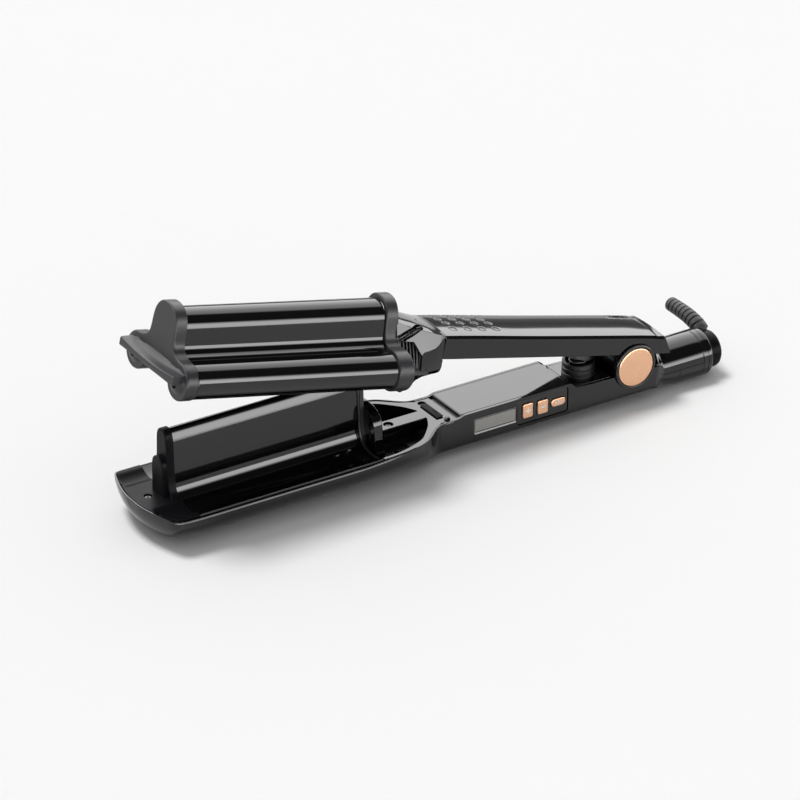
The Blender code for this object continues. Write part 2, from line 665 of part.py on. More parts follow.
def sweep(path, radii, sides):
    """Round section along a (y, z) path in the plane x = RELIEF_X."""
    sections = []
    for i, (y, z) in enumerate(path):
        a, b = path[max(i - 1, 0)], path[min(i + 1, len(path) - 1)]
        dy, dz = b[0] - a[0], b[1] - a[1]
        length = math.hypot(dy, dz)
        ny, nz = -dz / length, dy / length
        section = []
        for k in range(sides):
            t = 2 * math.pi * k / sides
            off = radii[i] * math.sin(t)
            section.append((RELIEF_X + radii[i] * math.cos(t), y + ny * off, z + nz * off))
        sections.append(section)
    return loft(sections)


def cord_swivel():
    # direction from the drum axis to the start of the relief
    start_y, start_z = RELIEF[0]
    length = math.hypot(start_y, start_z - TAIL_Z)
    dir_y, dir_z = start_y / length, (start_z - TAIL_Z) / length

    drum = Part("swivel_drum", turned(DRUM, TAIL, "x", 32), SATIN, SWIVEL)
    socket = [(dir_y * k, TAIL_Z + dir_z * k) for k in (5.4, 12.5)]
    drum.cut(sweep(socket, [3.5, 3.5], 16))
    drum.finish()

    relief = Part("strain_relief", sweep(RELIEF, RELIEF_R, 14), RUBBER, SWIVEL)
    bore = [(start_y - dir_y, start_z - dir_z)] + RELIEF[1:-1] + [(35.0, 17.2)]
    relief.cut(sweep(bore, [2.3] * len(bore), 10))
    relief.finish()

    cord = RELIEF[:-1] + [(34.2, 17.2)]
    Part("power_cord", sweep(cord, [1.95] * len(cord), 10), RUBBER, SWIVEL).finish()
    contacts = rod((42.8, 43.8), 4.6, TAIL, "x", 20)
    Part("slip_ring_contacts", contacts, BRASS, SWIVEL).finish()


# ---------------------------------------------------------------- upper barrel
BELL_WIDEN = 9.0 / BELL_R             # the middle barrel is 9.0 in half width
LOBE_ANGLES = range(84, -77, -20)     # degrees round a side barrel, from its top outwards
FOOT_ANGLES = (-96, -118, -140)       # on round its underside
# inner half profiles (y, z) of the barrel and of the front cap
BELL_IN = [(0, 52.0), (2.6, 51.3), (4.7, 49.6), (5.8, 47.0), (6.2, 44.0), (6.6, 38.5),
           (7.2, 32.0), (8.0, 27.4), (9.4, 23.0), (11.0, 20.4)]
CAP_IN = [(0, 51.9), (2.7, 51.4), (4.8, 49.6), (5.9, 47.0), (6.3, 44.0), (6.7, 38.5),
          (7.3, 32.0), (8.1, 27.4), (9.5, 23.0), (11.0, 20.6)]


def lobe_arc(radius, angles):
    return [(LOBE_Y + radius * math.cos(math.radians(a)),
             LOBE_Z + radius * math.sin(math.radians(a))) for a in angles]


def bell_half(d=0.0):
    """Half outline of the bell grown by d, from the crown to under the side barrel."""
    points = [(0.0, BELL_TOP + d)]
    r = BELL_R + d
    for i in range(1, 6):
        a = math.radians(90 - 84 * i / 5)
        points.append((r * math.cos(a) * BELL_WIDEN, BELL_TOP - BELL_R + r * math.sin(a)))
    points += [(9.6 + d, 42.6), (10.5 + d, 38.9 + 0.2 * d),
               (12.4 + 0.8 * d, 35.6 + 0.6 * d), (15.3 + 0.3 * d, 33.75 + 0.95 * d)]
    return points + lobe_arc(LOBE_R + d, LOBE_ANGLES)


def upper_barrel():
    profile = shell_profile(bell_half() + lobe_arc(LOBE_R, FOOT_ANGLES), BELL_IN)
    part = Part("upper_barrel", extrude_x(profile, BELL_X0, BELL_X1), COAT, ARM)
    for side in (1, -1):
        part.cut(rod((BELL_X0 - 1, BELL_X1 + 1), 6.4, (0, side * LOBE_Y, LOBE_Z), "x", 14))
    part.finish()


def upper_heaters():
    for tag, side in SIDES:
        y = side * LOBE_Y
        heater = box(x=(-252, -176), y=(y - 3.2, y + 3.2), z=(LOBE_Z - 1.2, LOBE_Z + 1.2))
        Part("upper_heater_" + tag, heater, CERAMIC, ARM).finish()
    thermistor = rod((-172, -164), 0.9, (0, -LOBE_Y, LOBE_Z + 3.6), "x", 8)
    Part("upper_thermistor", thermistor, WHITE, ARM).finish()


# ---------------------------------------------------------------- upper front cap
# outer half profile (y, z) above the side barrel
CAP_CROWN = [(0, 57.0), (3.9, 56.6), (7.3, 54.8), (9.5, 51.6), (10.7, 47.2), (11.0, 43.0),
             (11.2, 39.8), (12.4, 36.9), (15.0, 34.9), (18.6, 33.95)]
# half profile (y, z) of the front face
FACE = [(0, 56.97), (3.9, 56.57), (7.28, 54.77), (9.47, 51.57), (10.67, 47.2),
        (10.97, 43.0), (11.17, 39.8), (12.37, 36.87), (14.97, 34.87), (18.57, 33.9),
        (23.2, 32.9), (23.2, 29.4), (18.0, 28.6), (8.0, 28.6)]
# side barrel nose (x, radius)
NOSE = [(-278.2, 4.8), (-277.6, 6.5), (-276.2, 7.8), (-274.2, 8.85), (-272.6, 9.3),
        (-272.0, 9.32)]
SHELF_HALF = 25.0
TIP_SCREW_Z = LOBE_Z - 0.4


def cool_tip_shelf(steps=12):
    """Shelf along the front of the cap, lofted from -Y to +Y."""
    sections = []
    for i in range(steps + 1):
        v = -1 + 2 * i / steps
        edge = -283.1 + 0.45 * v * v
        root = 30.6 - 1.0 * v * v
        top = 28.0 + 1.3 * v * v
        low = 24.3 + 2.9 * abs(v) ** 5
        profile = [(-274.0, low + 1.6), (-274.0, root + 0.3), (-276.4, root),
                   (-279.4, root - 0.72 * (root - top)), (edge + 0.5, top),
                   (edge, top - 0.6), (edge, low + 0.7), (edge + 0.6, low),
                   (-277.6, low + 1.0)]
        sections.append([(x, SHELF_HALF * v, z) for x, z in profile])
    return loft(sections)


def upper_front_cap():
    outer = CAP_CROWN + lobe_arc(9.35, (*LOBE_ANGLES, *FOOT_ANGLES))
    shell = extrude_x(shell_profile(outer, CAP_IN), -273.6, BELL_X0 - GAP)
    part = Part("upper_front_cap", shell, SATIN, ARM)
    for side in (1, -1):
        part.add(turned(NOSE, (0, side * LOBE_Y, LOBE_Z), "x", 24))
    stations = ((-273.2, 1.0), (-275.5, 1.0), (-276.3, 0.965))
    part.add(loft([scaled_section(x, FACE, 30.0, k, k) for x, k in stations]))
    # front wall between the side barrels, under the shelf
    part.add(box(x=(-277.2, -274.4), y=(-16.0, 16.0), z=(20.6, 30.6)))
    part.add(cool_tip_shelf())
    for side in (1, -1):
        part.cut(rod((-279.5, -275.0), 1.7, (0, side * LOBE_Y, TIP_SCREW_Z), "x", 10))
    part.finish()
    for tag, side in SIDES:
        screw = rod((-276.6, -275.3), 1.4, (0, side * LOBE_Y, TIP_SCREW_Z), "x", 10)
        Part("tip_screw_" + tag, screw, STEEL, ARM).finish()


# ---------------------------------------------------------------- upper collar and neck
COLLAR_X1 = -147.0
COLLAR_GROW, COLLAR_INSET = 1.3, 0.7  # outside and inside of the collar, from the bell


def upper_rear_collar():
    outer = [(0.0, 56.4)]
    outer += [(y, z + 1.0 if z > 44 else z) for y, z in bell_half(COLLAR_GROW)[1:]]
    end = math.radians(-94)
    outer.append((LOBE_Y + (LOBE_R + COLLAR_GROW) * math.cos(end),
                  LOBE_Z + (LOBE_R + 1.1) * math.sin(end)))
    inner = bell_half(-COLLAR_INSET) + lobe_arc(LOBE_R - COLLAR_INSET, (-94,))
    collar = extrude_x(shell_profile(outer, inner), BELL_X1 + GAP, COLLAR_X1)
    Part("upper_rear_collar", collar, SATIN, ARM).finish()


# x, half section (y, z) from the crown to the underside
NECK = [
    (COLLAR_X1 + GAP, [(0, 46.4), (6.5, 46.1), (12.0, 44.2), (16.6, 40.4), (20.8, 36.4),
                       (25.4, 31.4), (26.6, 25.2), (25.0, 18.6), (16.0, 17.9)]),
    (-142.4, [(0, 45.2), (7.0, 44.9), (12.6, 43.0), (16.8, 39.4), (20.6, 35.6),
              (24.0, 31.0), (24.8, 25.4), (22.6, 18.4), (15.0, 17.8)]),
    (-137.0, [(0, 43.7), (7.4, 43.4), (12.8, 41.6), (16.4, 38.2), (19.2, 34.4),
              (21.2, 30.2), (21.2, 25.2), (18.6, 18.3), (12.0, 17.7)]),
    (-130.0, [(0, 41.6), (7.8, 41.4), (12.6, 40.0), (15.2, 37.2), (16.8, 33.6),
              (17.6, 29.4), (17.2, 25.0), (14.6, 18.3), (9.0, 17.7)]),
    (-124.6, [(0, 39.8), (8.0, 39.6), (12.4, 38.6), (14.3, 36.2), (15.0, 32.8),
              (15.3, 29.0), (15.0, 25.0), (12.8, 18.3), (8.0, 17.7)]),
    (-121.3, [(0, 38.9), (8.0, 38.7), (12.4, 38.0), (14.1, 36.0), (14.5, 32.6),
              (14.55, 28.8), (14.4, 25.2), (12.6, 18.3), (8.0, 17.7)]),
]
NECK_CENTRE_Z = 30.0


def neck_sections(inset):
    """Neck sections with each point drawn towards (0, NECK_CENTRE_Z) by inset."""
    sections = []
    for x, half in NECK:
        points = []
        for y, z in half:
            length = math.hypot(y, z - NECK_CENTRE_Z)
            points.append((y - inset * y / length,
                           z - inset * (z - NECK_CENTRE_Z) / length))
        sections.append(at_x(x, mirrored(points)))
    return sections


def upper_neck():
    part = Part("upper_neck", loft(neck_sections(0.0)), GLOSS, ARM)
    inner = neck_sections(2.0)
    inner[0] = moved_to(-149.0, inner[0])
    inner[-1] = moved_to(-120.5, inner[-1])
    part.cut(loft(inner))
    # block under the rear end: x, half width, bottom z
    sections = []
    for x, h, z in ((-122.4, 12.0, 17.7), (-119.4, 11.8, 17.7), (-118.2, 11.2, 19.5)):
        sections.append(at_x(x, [(-h, 24.7), (h, 24.7), (h, z + 1.2), (h - 1.5, z),
                                 (1.5 - h, z), (-h, z + 1.2)]))
    part.add(loft(sections))
    part.finish(40)


# ---------------------------------------------------------------- upper handle
# x, crown z, lower edge z
UPPER_HANDLE = [(-121.0, 38.7, 25.2), (-112.0, 38.35, 25.0), (-60.0, 35.95, 23.6),
                (-11.0, 34.1, 22.3), (2.0, 33.6, 22.5)]
HANDLE_END = (33.0, 22.8)             # crown z, lower edge z at the rear end
HANDLE_THICK = 1.7


def handle_profile(top, edge, inset=0.0, drop=0.0):
    """Handle section (y, z); drop lowers the bottom edge."""
    w, crown = HAND_W - inset, top - inset
    return mirrored([(0, crown + 0.35), (9.5, crown + 0.2), (13.2 - inset * 0.4, crown - 0.1),
                     (w, crown - 1.3), (w, (top + edge) / 2), (w, edge - drop)])


def upper_handle_shell():
    sections = [at_x(x, handle_profile(top, edge)) for x, top, edge in UPPER_HANDLE]
    sections.append(at_x(8.0, handle_profile(33.35, 22.65)))
    # slanted rear end: the crown stops earlier than the lower edge
    sections.append([(15.6 + 6.2 * (HANDLE_END[0] - z) / 10.1, y, z)
                     for y, z in handle_profile(*HANDLE_END)])
    part = Part("upper_handle_shell", loft(sections), GLOSS, ARM)
    # hollow, open below and at the front
    hollow = {"inset": HANDLE_THICK, "drop": 3}
    cavity = [at_x(x, handle_profile(top, edge, **hollow)) for x, top, edge in UPPER_HANDLE]
    cavity[0] = moved_to(UPPER_HANDLE[0][0] - 0.5, cavity[0])
    cavity.append([(19.8 - 0.3 * max(0.0, z - 23.0), y, z)
                   for y, z in handle_profile(*HANDLE_END, **hollow)])
    part.cut(loft(cavity))
    for side in (1, -1):
        part.cut(rod(side_span(side, 11.0, 16.0), SKIRT_R, HINGE, "y", 36))
    part.finish()


# side profiles (x, z) of the chassis plate and of the web down to the hinge
CHASSIS = [(-120.4, 25.6), (-111.8, 25.3), (-60.0, 23.9), (-13.6, 22.7), (-13.6, 24.7),
           (-60.0, 25.9), (-111.8, 27.3), (-120.4, 27.6)]
CHASSIS_WEB = [(-16.0, 22.9), (-6.0, 17.1), (6.0, 17.1), (9.0, 24.0), (9.0, 27.0),
               (-16.0, 27.0)]


def upper_chassis():
    part = Part("upper_hinge_chassis", extrude_y(CHASSIS, -12.3, 12.3), NYLON, ARM)
    part.add(extrude_y(CHASSIS_WEB, -11.0, 11.0))
    part.add(rod((-11.05, 11.05), 6.2, HINGE, "y", 24))
    part.cut(rod((-13, 13), PIN_R + GAP, HINGE, "y", 16))
    part.finish()
    wiring = rod((-149, -117), 1.3, (0, 4.0, 31.0), "x", 8)
    Part("upper_wiring", wiring, RUBBER, ARM).finish()


for build in (
    lower_housing, lower_barrel_plate, lower_heater, lower_front_cap, lower_rear_cap,
    lower_neck_frame, lower_well_tray, neck_fittings, lower_handle_cover, opening_spring,
    control_panel, buttons, electronics, hinge, tail, cord_swivel,
    upper_barrel, upper_heaters, upper_front_cap, upper_rear_collar, upper_neck,
    upper_handle_shell, upper_chassis,
):
    build()
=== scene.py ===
"""A cord-fed styling iron with two long arms, hinged open.

It lies along x: the tips are at -x (front), the cord at +x (back), the controls face -y.
The hinge pin runs along y through x = 0, z = HINGE_Z. Upper-arm pieces are drawn closed and
then turned open about the pin. All shape tables are in millimetres.
"""
import json
from math import atan2, copysign, cos, dist, exp, hypot, log, pi, radians, sin, sqrt

import bmesh
import bpy
from mathutils import Matrix, Vector


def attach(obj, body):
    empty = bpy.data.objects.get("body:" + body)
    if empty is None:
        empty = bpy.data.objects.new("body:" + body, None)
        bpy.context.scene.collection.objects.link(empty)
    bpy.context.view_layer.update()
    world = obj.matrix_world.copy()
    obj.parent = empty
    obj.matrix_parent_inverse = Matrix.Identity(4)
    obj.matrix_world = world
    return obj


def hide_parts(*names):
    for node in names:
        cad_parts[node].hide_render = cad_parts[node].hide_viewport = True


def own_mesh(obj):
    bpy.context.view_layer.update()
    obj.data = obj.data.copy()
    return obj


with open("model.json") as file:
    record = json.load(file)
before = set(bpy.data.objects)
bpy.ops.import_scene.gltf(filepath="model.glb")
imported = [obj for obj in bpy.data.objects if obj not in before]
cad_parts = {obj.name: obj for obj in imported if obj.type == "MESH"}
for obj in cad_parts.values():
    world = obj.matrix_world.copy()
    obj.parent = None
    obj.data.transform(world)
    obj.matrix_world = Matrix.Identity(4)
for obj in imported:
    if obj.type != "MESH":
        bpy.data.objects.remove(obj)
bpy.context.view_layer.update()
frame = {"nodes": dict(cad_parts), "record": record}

MM = 0.001
UPPER, LOWER, SWIVEL = "upper_arm", "lower_arm", "cord_swivel"

HINGE_Z = 17.1
HINGE = (0, 0, HINGE_Z)
OPENED = (Matrix.Translation((0, 0, HINGE_Z * MM))
          @ Matrix.Rotation(radians(12.8), 4, "Y")
          @ Matrix.Translation((0, 0, -HINGE_Z * MM)))

NOSE_X = -283.0             # front tip of the lower arm
PLATE_X = (-262.0, -159.0)  # front and back ends of the lower barrel plate
LOBE_Y, LOBE_Z = 19.5, 24.5  # axis of the round lobes beside the bell
SPRING_X = -24.5
TAIL_Z = 5.5                # axis of the tail and swivel
CORD_X, CORD_Z = 56.4, 17.2
LCD = (-84.05, 10.1)        # x, z of the centre
PANEL = (-55.55, 10.0)


# ---------------------------------------------------------------- materials

def add_node(tree, kind, inputs=None, **settings):
    """New shader node; each input is either a value or a socket to link from."""
    node = tree.nodes.new("ShaderNode" + kind)
    for key, value in settings.items():
        setattr(node, key, value)
    for socket, value in (inputs or {}).items():
        if isinstance(value, bpy.types.NodeSocket):
            tree.links.new(value, node.inputs[socket])
        else:
            node.inputs[socket].default_value = value
    return node


def map_range(tree, value, source, result):
    return add_node(tree, "MapRange", {
        "Value": value, "From Min": source[0], "From Max": source[1],
        "To Min": result[0], "To Max": result[1]}).outputs["Result"]


def mix_color(tree, factor, first, second):
    inputs = {0: factor, 6: first, 7: second}
    return add_node(tree, "Mix", inputs, data_type="RGBA").outputs[2]


def shade(rgb, gain, lift=0.0):
    return (*(min(c * gain + lift, 1) for c in rgb), 1)


def surface(name, rgb, rough, rough_var, bump, bump_scale, metal=0.0, spec=0.5, tint=0.12,
            wear=0.0, wear_rgb=None, stretch=(1.0, 1.0, 1.0), coat=0.0, coat_rough=0.05,
            speck=0.0):
    """Varied colour and roughness, micro bump (depth in mm), optional specks and worn edges."""
    mat = bpy.data.materials.new(name)
    mat.use_nodes = True
    mat.diffuse_color = (*rgb, 1)
    tree = mat.node_tree
    bsdf = tree.nodes["Principled BSDF"]
    for socket, value in {"Metallic": metal, "IOR": 1.5, "Specular IOR Level": spec,
                          "Coat Weight": coat, "Coat Roughness": coat_rough}.items():
        bsdf.inputs[socket].default_value = value
    coords = add_node(tree, "TexCoord").outputs["Object"]
    mapping = add_node(tree, "Mapping", {"Vector": coords, "Scale": stretch}).outputs["Vector"]
    broad = add_node(tree, "TexNoise", {"Vector": mapping, "Scale": 63.0, "Detail": 5.0})
    broad = broad.outputs["Fac"]
    fine = add_node(tree, "TexNoise", {"Vector": mapping, "Scale": bump_scale, "Detail": 3.0})
    fine = fine.outputs["Fac"]
    color = mix_color(tree, broad, shade(rgb, 1 - tint), shade(rgb, 1 + tint))
    if speck:
        cells = add_node(tree, "TexVoronoi", {"Vector": mapping, "Scale": bump_scale * 0.8})
        amount = map_range(tree, cells.outputs["Distance"], (0.0, 0.22), (speck, 0.0))
        color = mix_color(tree, amount, color, shade(rgb, 3, 0.05))
    rough_range = (max(rough - rough_var, 0.015), min(rough + rough_var, 1.0))
    roughness = map_range(tree, broad, (0.3, 0.7), rough_range)
    if wear:
        edges = add_node(tree, "NewGeometry").outputs["Pointiness"]
        edges = map_range(tree, edges, (0.53, 0.62), (0.0, wear))
        worn = add_node(tree, "Math", {0: edges, 1: fine}, operation="MULTIPLY").outputs[0]
        bare = (*wear_rgb, 1) if wear_rgb else shade(rgb, 2.2, 0.03)
        color = mix_color(tree, worn, color, bare)
        total = add_node(tree, "Math", {0: roughness}, operation="ADD", use_clamp=True)
        extra = add_node(tree, "Math", {0: worn, 1: 0.25}, operation="MULTIPLY")
        tree.links.new(extra.outputs[0], total.inputs[1])
        roughness = total.outputs[0]
    tree.links.new(color, bsdf.inputs["Base Color"])
    tree.links.new(roughness, bsdf.inputs["Roughness"])
    relief = add_node(tree, "Bump", {"Strength": 1.0, "Distance": bump * MM, "Height": fine})
    tree.links.new(relief.outputs["Normal"], bsdf.inputs["Normal"])
    return mat


SURFACES = {
    "gloss_black_shell": dict(
        rgb=(0.0038, 0.0038, 0.0042), rough=0.05, rough_var=0.02, bump=0.0012,
        bump_scale=260, wear=0.25, spec=0.46),
    "satin_black_cap": dict(
        rgb=(0.020, 0.020, 0.022), rough=0.40, rough_var=0.05, bump=0.012,
        bump_scale=2600, wear=0.35, spec=0.38),
    "satin_black_lower": dict(
        rgb=(0.005, 0.005, 0.006), rough=0.36, rough_var=0.05, bump=0.010,
        bump_scale=2600, wear=0.3, spec=0.06),
    "blued_spring_steel": dict(
        rgb=(0.05, 0.05, 0.055), rough=0.32, metal=1.0, rough_var=0.08, bump=0.004,
        bump_scale=1500, wear=0.4),
    "titanium_coated_barrel": dict(
        rgb=(0.0035, 0.0035, 0.004), rough=0.055, rough_var=0.02, bump=0.0009,
        bump_scale=700, stretch=(0.05, 1, 1), wear=0.3, speck=0.01),
    "rose_gold_trim": dict(
        rgb=(0.775, 0.455, 0.285), rough=0.26, metal=1.0, rough_var=0.05, bump=0.003,
        bump_scale=2400, tint=0.04, wear=0.3, wear_rgb=(0.9, 0.72, 0.6)),
    "panel_black": dict(
        rgb=(0.008, 0.008, 0.009), rough=0.16, rough_var=0.04, bump=0.002,
        bump_scale=1500, wear=0.2),
    "lcd_glass_grey": dict(
        rgb=(0.262, 0.258, 0.242), rough=0.28, rough_var=0.05, bump=0.0005,
        bump_scale=300, coat=1.0, coat_rough=0.04, tint=0.05),
    "steel": dict(
        rgb=(0.52, 0.52, 0.54), rough=0.28, metal=1.0, rough_var=0.1, bump=0.004,
        bump_scale=1400, tint=0.1, stretch=(1, 1, 0.2), wear=0.3),
    "rubber_black": dict(
        rgb=(0.012, 0.012, 0.013), rough=0.42, rough_var=0.08, bump=0.01,
        bump_scale=1800, wear=0.3, spec=0.36),
    "board_green": dict(
        rgb=(0.02, 0.12, 0.045), rough=0.4, rough_var=0.1, bump=0.01,
        bump_scale=900, speck=0.4),
    "ceramic_heater": dict(
        rgb=(0.80, 0.78, 0.73), rough=0.6, rough_var=0.1, bump=0.01,
        bump_scale=1600, tint=0.05),
    "aluminium_shield": dict(
        rgb=(0.70, 0.70, 0.71), rough=0.33, metal=1.0, rough_var=0.1, bump=0.003,
        bump_scale=1100, stretch=(0.1, 1, 1)),
    "inner_black": dict(
        rgb=(0.008, 0.008, 0.009), rough=0.42, rough_var=0.1, bump=0.01,
        bump_scale=1500, wear=0.2),
    "brass_contact": dict(
        rgb=(0.72, 0.53, 0.25), rough=0.25, metal=1.0, rough_var=0.08, bump=0.002,
        bump_scale=1300),
    "white_plastic": dict(
        rgb=(0.72, 0.72, 0.70), rough=0.42, rough_var=0.08, bump=0.006,
        bump_scale=1500, tint=0.03),
    "legend_print": dict(
        rgb=(0.86, 0.84, 0.80), rough=0.4, rough_var=0.05, bump=0.002,
        bump_scale=1500, tint=0.02),
    "screw_black_zinc": dict(
        rgb=(0.10, 0.10, 0.105), rough=0.3, metal=1.0, rough_var=0.1, bump=0.004,
        bump_scale=1500, wear=0.4),
}
MATERIALS = {name: surface(name, **look) for name, look in SURFACES.items()}
SLOT_OF = {part["node"]: part["material_slot"] for part in frame["record"]["subparts"]}


def dress_cad_nodes():
    """Every CAD node gets the procedural material of its slot."""
    for name, node in frame["nodes"].items():
        mat = MATERIALS[SLOT_OF[name]]
        if not node.material_slots:
            node.data.materials.append(mat)
        for slot in node.material_slots:
            slot.material = mat


# ---------------------------------------------------------------- curves and outlines

def clamp(value, low=0.0, high=1.0):
    return min(max(value, low), high)


def mix(a, b, t):
    return tuple(p + (q - p) * t for p, q in zip(a, b))


def span(side, near, far):
    """Ascending y range between two distances from the centre, on side +1 or -1."""
    return sorted((side * near, side * far))


def at_x(x, outline):
    return [(x, y, z) for y, z in outline]


def spline(points, steps, corners=()):
    """Centripetal Catmull-Rom through the points; corners are indices kept sharp."""
    out = []
    if corners:
        ends = [0, *corners, len(points) - 1]
        for a, b in zip(ends[:-1], ends[1:]):
            run = spline(points[a:b + 1], steps)
            out += run[1:] if out else run
        return out
    path = [mix(points[1], points[0], 2), *points, mix(points[-2], points[-1], 2)]
    for i in range(1, len(points)):
        p = path[i - 1:i + 3]
        knots = [0.0]
        for a, b in zip(p[:-1], p[1:]):
            knots.append(knots[-1] + max(dist(a, b), 1e-9) ** 0.5)
        for j in range(steps + (i == len(points) - 1)):
            now = knots[1] + (knots[2] - knots[1]) * j / steps

            def between(a, b, start, end):
                return mix(a, b, (now - knots[start]) / (knots[end] - knots[start]))
            first = [between(p[m], p[m + 1], m, m + 1) for m in range(3)]
            second = [between(first[m], first[m + 1], m, m + 2) for m in range(2)]
            out.append(between(*second, 1, 2))
    return out


def sym_spline(half, steps):
    """Half profile from the centre line, smoothed with its mirror so the crown stays round."""
    curve = spline([(-y, z) for y, z in reversed(half[1:])] + list(half), steps)
    middle = len(curve) // 2
    return [(0.0, curve[middle][1])] + curve[middle + 1:]


def resample(line, step):
    """Points along an open poly-line at about even steps."""
    run = [0.0]
    for a, b in zip(line[:-1], line[1:]):
        run.append(run[-1] + dist(a, b))
    count = max(2, int(round(run[-1] / step)))
    out, j = [], 0
    for i in range(count + 1):
        t = run[-1] * i / count
        while j < len(run) - 2 and run[j + 1] < t:
            j += 1
        out.append(mix(line[j], line[j + 1], (t - run[j]) / max(run[j + 1] - run[j], 1e-9)))
    return out


def monotone(xs, ys, x):
    """Monotone cubic through a table, so a run of equal values stays flat."""
    n = len(xs)
    i = next((j for j in range(n - 1) if x <= xs[j + 1]), n - 2)
    h = [xs[j + 1] - xs[j] for j in range(n - 1)]
    d = [(ys[j + 1] - ys[j]) / h[j] for j in range(n - 1)]

    def slope(j):
        if j == 0:
            return d[0]
        if j == n - 1:
            return d[-1]
        if d[j - 1] * d[j] <= 0:
            return 0.0
        w1, w2 = 2 * h[j] + h[j - 1], h[j] + 2 * h[j - 1]
        return (w1 + w2) / (w1 / d[j - 1] + w2 / d[j])
    t = (x - xs[i]) / h[i]
    return ((1 + 2 * t) * (1 - t) ** 2 * ys[i] + t * (1 - t) ** 2 * h[i] * slope(i)
            + t * t * (3 - 2 * t) * ys[i + 1] + t * t * (t - 1) * h[i] * slope(i + 1))


def station(rows, x):
    """The other columns of a table whose first column is x, read at any x."""
    xs, *columns = zip(*rows)
    return [monotone(xs, column, clamp(x, xs[0], xs[-1])) for column in columns]


def both(half):
    """Half outline (y, z) closed with its mirror image."""
    return list(half) + [(-y, z) for y, z in reversed(half) if y > 1e-6]


def plan(half):
    """Half plan (x, y) closed with its mirror image."""
    return list(half) + [(x, -y) for x, y in reversed(half) if y > 1e-6]


def shell_profile(outer, inner):
    """Arched wall between two half outlines, open below."""
    outer_left = [(-y, z) for y, z in reversed(outer) if y > 1e-6]
    inner_right = [(y, z) for y, z in reversed(inner) if y > 1e-6]
    inner_left = [(-y, z) for y, z in inner if y > 1e-6]
    return outer_left + list(outer) + inner_right + [(0.0, inner[0][1])] + inner_left


def inset_loop(loop, amount):
    """Closed 2-D loop moved inwards along its vertex normals."""
    n = len(loop)
    area = sum(loop[i][0] * loop[(i + 1) % n][1] - loop[(i + 1) % n][0] * loop[i][1]
               for i in range(n))
    sign = 1.0 if area > 0 else -1.0

    def normal(a, b):
        dx, dy = b[0] - a[0], b[1] - a[1]
        length = hypot(dx, dy) or 1e-9
        return -dy / length * sign, dx / length * sign
    out = []
    for i, point in enumerate(loop):
        before = normal(loop[i - 1], point)
        after = normal(point, loop[(i + 1) % n])
        nx, ny = before[0] + after[0], before[1] + after[1]
        length = hypot(nx, ny) or 1e-9
        nx, ny = nx / length, ny / length
        reach = amount / max(nx * before[0] + ny * before[1], 0.45)
        out.append((point[0] + nx * reach, point[1] + ny * reach))
    return out


def rect(u0, u1, v0, v1):
    return [(u0, v0), (u1, v0), (u1, v1), (u0, v1)]


def round_rect(u, v, half_u, half_v, radius, steps=6):
    points = []
    for k, (su, sv) in enumerate(((1, 1), (-1, 1), (-1, -1), (1, -1))):
        for i in range(steps + 1):
            a = pi / 2 * (k + i / steps)
            points.append((u + su * (half_u - radius) + radius * cos(a),
                           v + sv * (half_v - radius) + radius * sin(a)))
    return points


# ---------------------------------------------------------------- solids: (vertices, faces)

# Point from its place along the axis and the two coordinates across it.
PLACE = {"x": lambda a, u, v: (a, u, v),
         "y": lambda a, u, v: (u, a, v),
         "z": lambda a, u, v: (u, v, a)}


def loft(sections, closed=False):
    """Skin over equal loops: capped at both ends, or joined end to start when closed."""
    n, total = len(sections[0]), len(sections)
    faces = []
    for k in range(total if closed else total - 1):
        a, b = k * n, (k + 1) % total * n
        for i in range(n):
            j = (i + 1) % n
            faces.append((a + i, a + j, b + j, b + i))
    if not closed:
        faces.append(tuple(range(n)))
        faces.append(tuple((total - 1) * n + i for i in range(n)))
    return [p for section in sections for p in section], faces


def extrude(loop, axis, start, end, start_round=0.0, end_round=0.0, steps=3):
    """Closed loop pushed along an axis, with its end rims rounded."""
    def rim(at, radius, inward):
        sections = []
        for i in range(steps + 1) if radius else [steps]:
            turned = pi / 2 * i / steps
            inset = radius * (1 - sin(turned))
            a = at + inward * radius * (1 - cos(turned))
            ring = inset_loop(loop, inset) if inset > 1e-6 else loop
            sections.append([PLACE[axis](a, u, v) for u, v in ring])
        return sections
    inward = copysign(1, end - start)
    return loft(rim(start, start_round, inward) + rim(end, end_round, -inward)[::-1])


def box(x0, x1, y0, y1, z0, z1, rounding=0.0):
    return extrude(rect(y0, y1, z0, z1), "x", x0, x1, rounding, rounding)


def turn(profile, axis, center=(0, 0, 0), count=64, ring=False):
    """Profile (place along the axis, radius) spun round it; a ring has a closed profile."""
    angles = [2 * pi * i / count for i in range(count)]

    def point(a, radius, angle):
        p = PLACE[axis](a, radius * cos(angle), radius * sin(angle))
        return tuple(c + q for c, q in zip(center, p))
    if ring:
        return loft([[point(a, r, t) for a, r in profile] for t in angles], closed=True)
    return loft([[point(a, r, t) for t in angles] for a, r in profile])


def cylinder(axis, start, end, radius, center=(0, 0, 0), count=64):
    return turn([(start, radius), (end, radius)], axis, center, count)


def sweep(path, radii, count):
    """Round tube along a (y, z) path in the plane x = CORD_X."""
    sections = []
    for i, ((y, z), r) in enumerate(zip(path, radii)):
        a, b = path[max(i - 1, 0)], path[min(i + 1, len(path) - 1)]
        dy, dz = b[0] - a[0], b[1] - a[1]
        length = hypot(dy, dz) or 1e-9
        ny, nz = -dz / length, dy / length
        angles = [2 * pi * k / count for k in range(count)]
        sections.append([(CORD_X + r * cos(t), y + ny * r * sin(t), z + nz * r * sin(t))
                         for t in angles])
    return loft(sections)


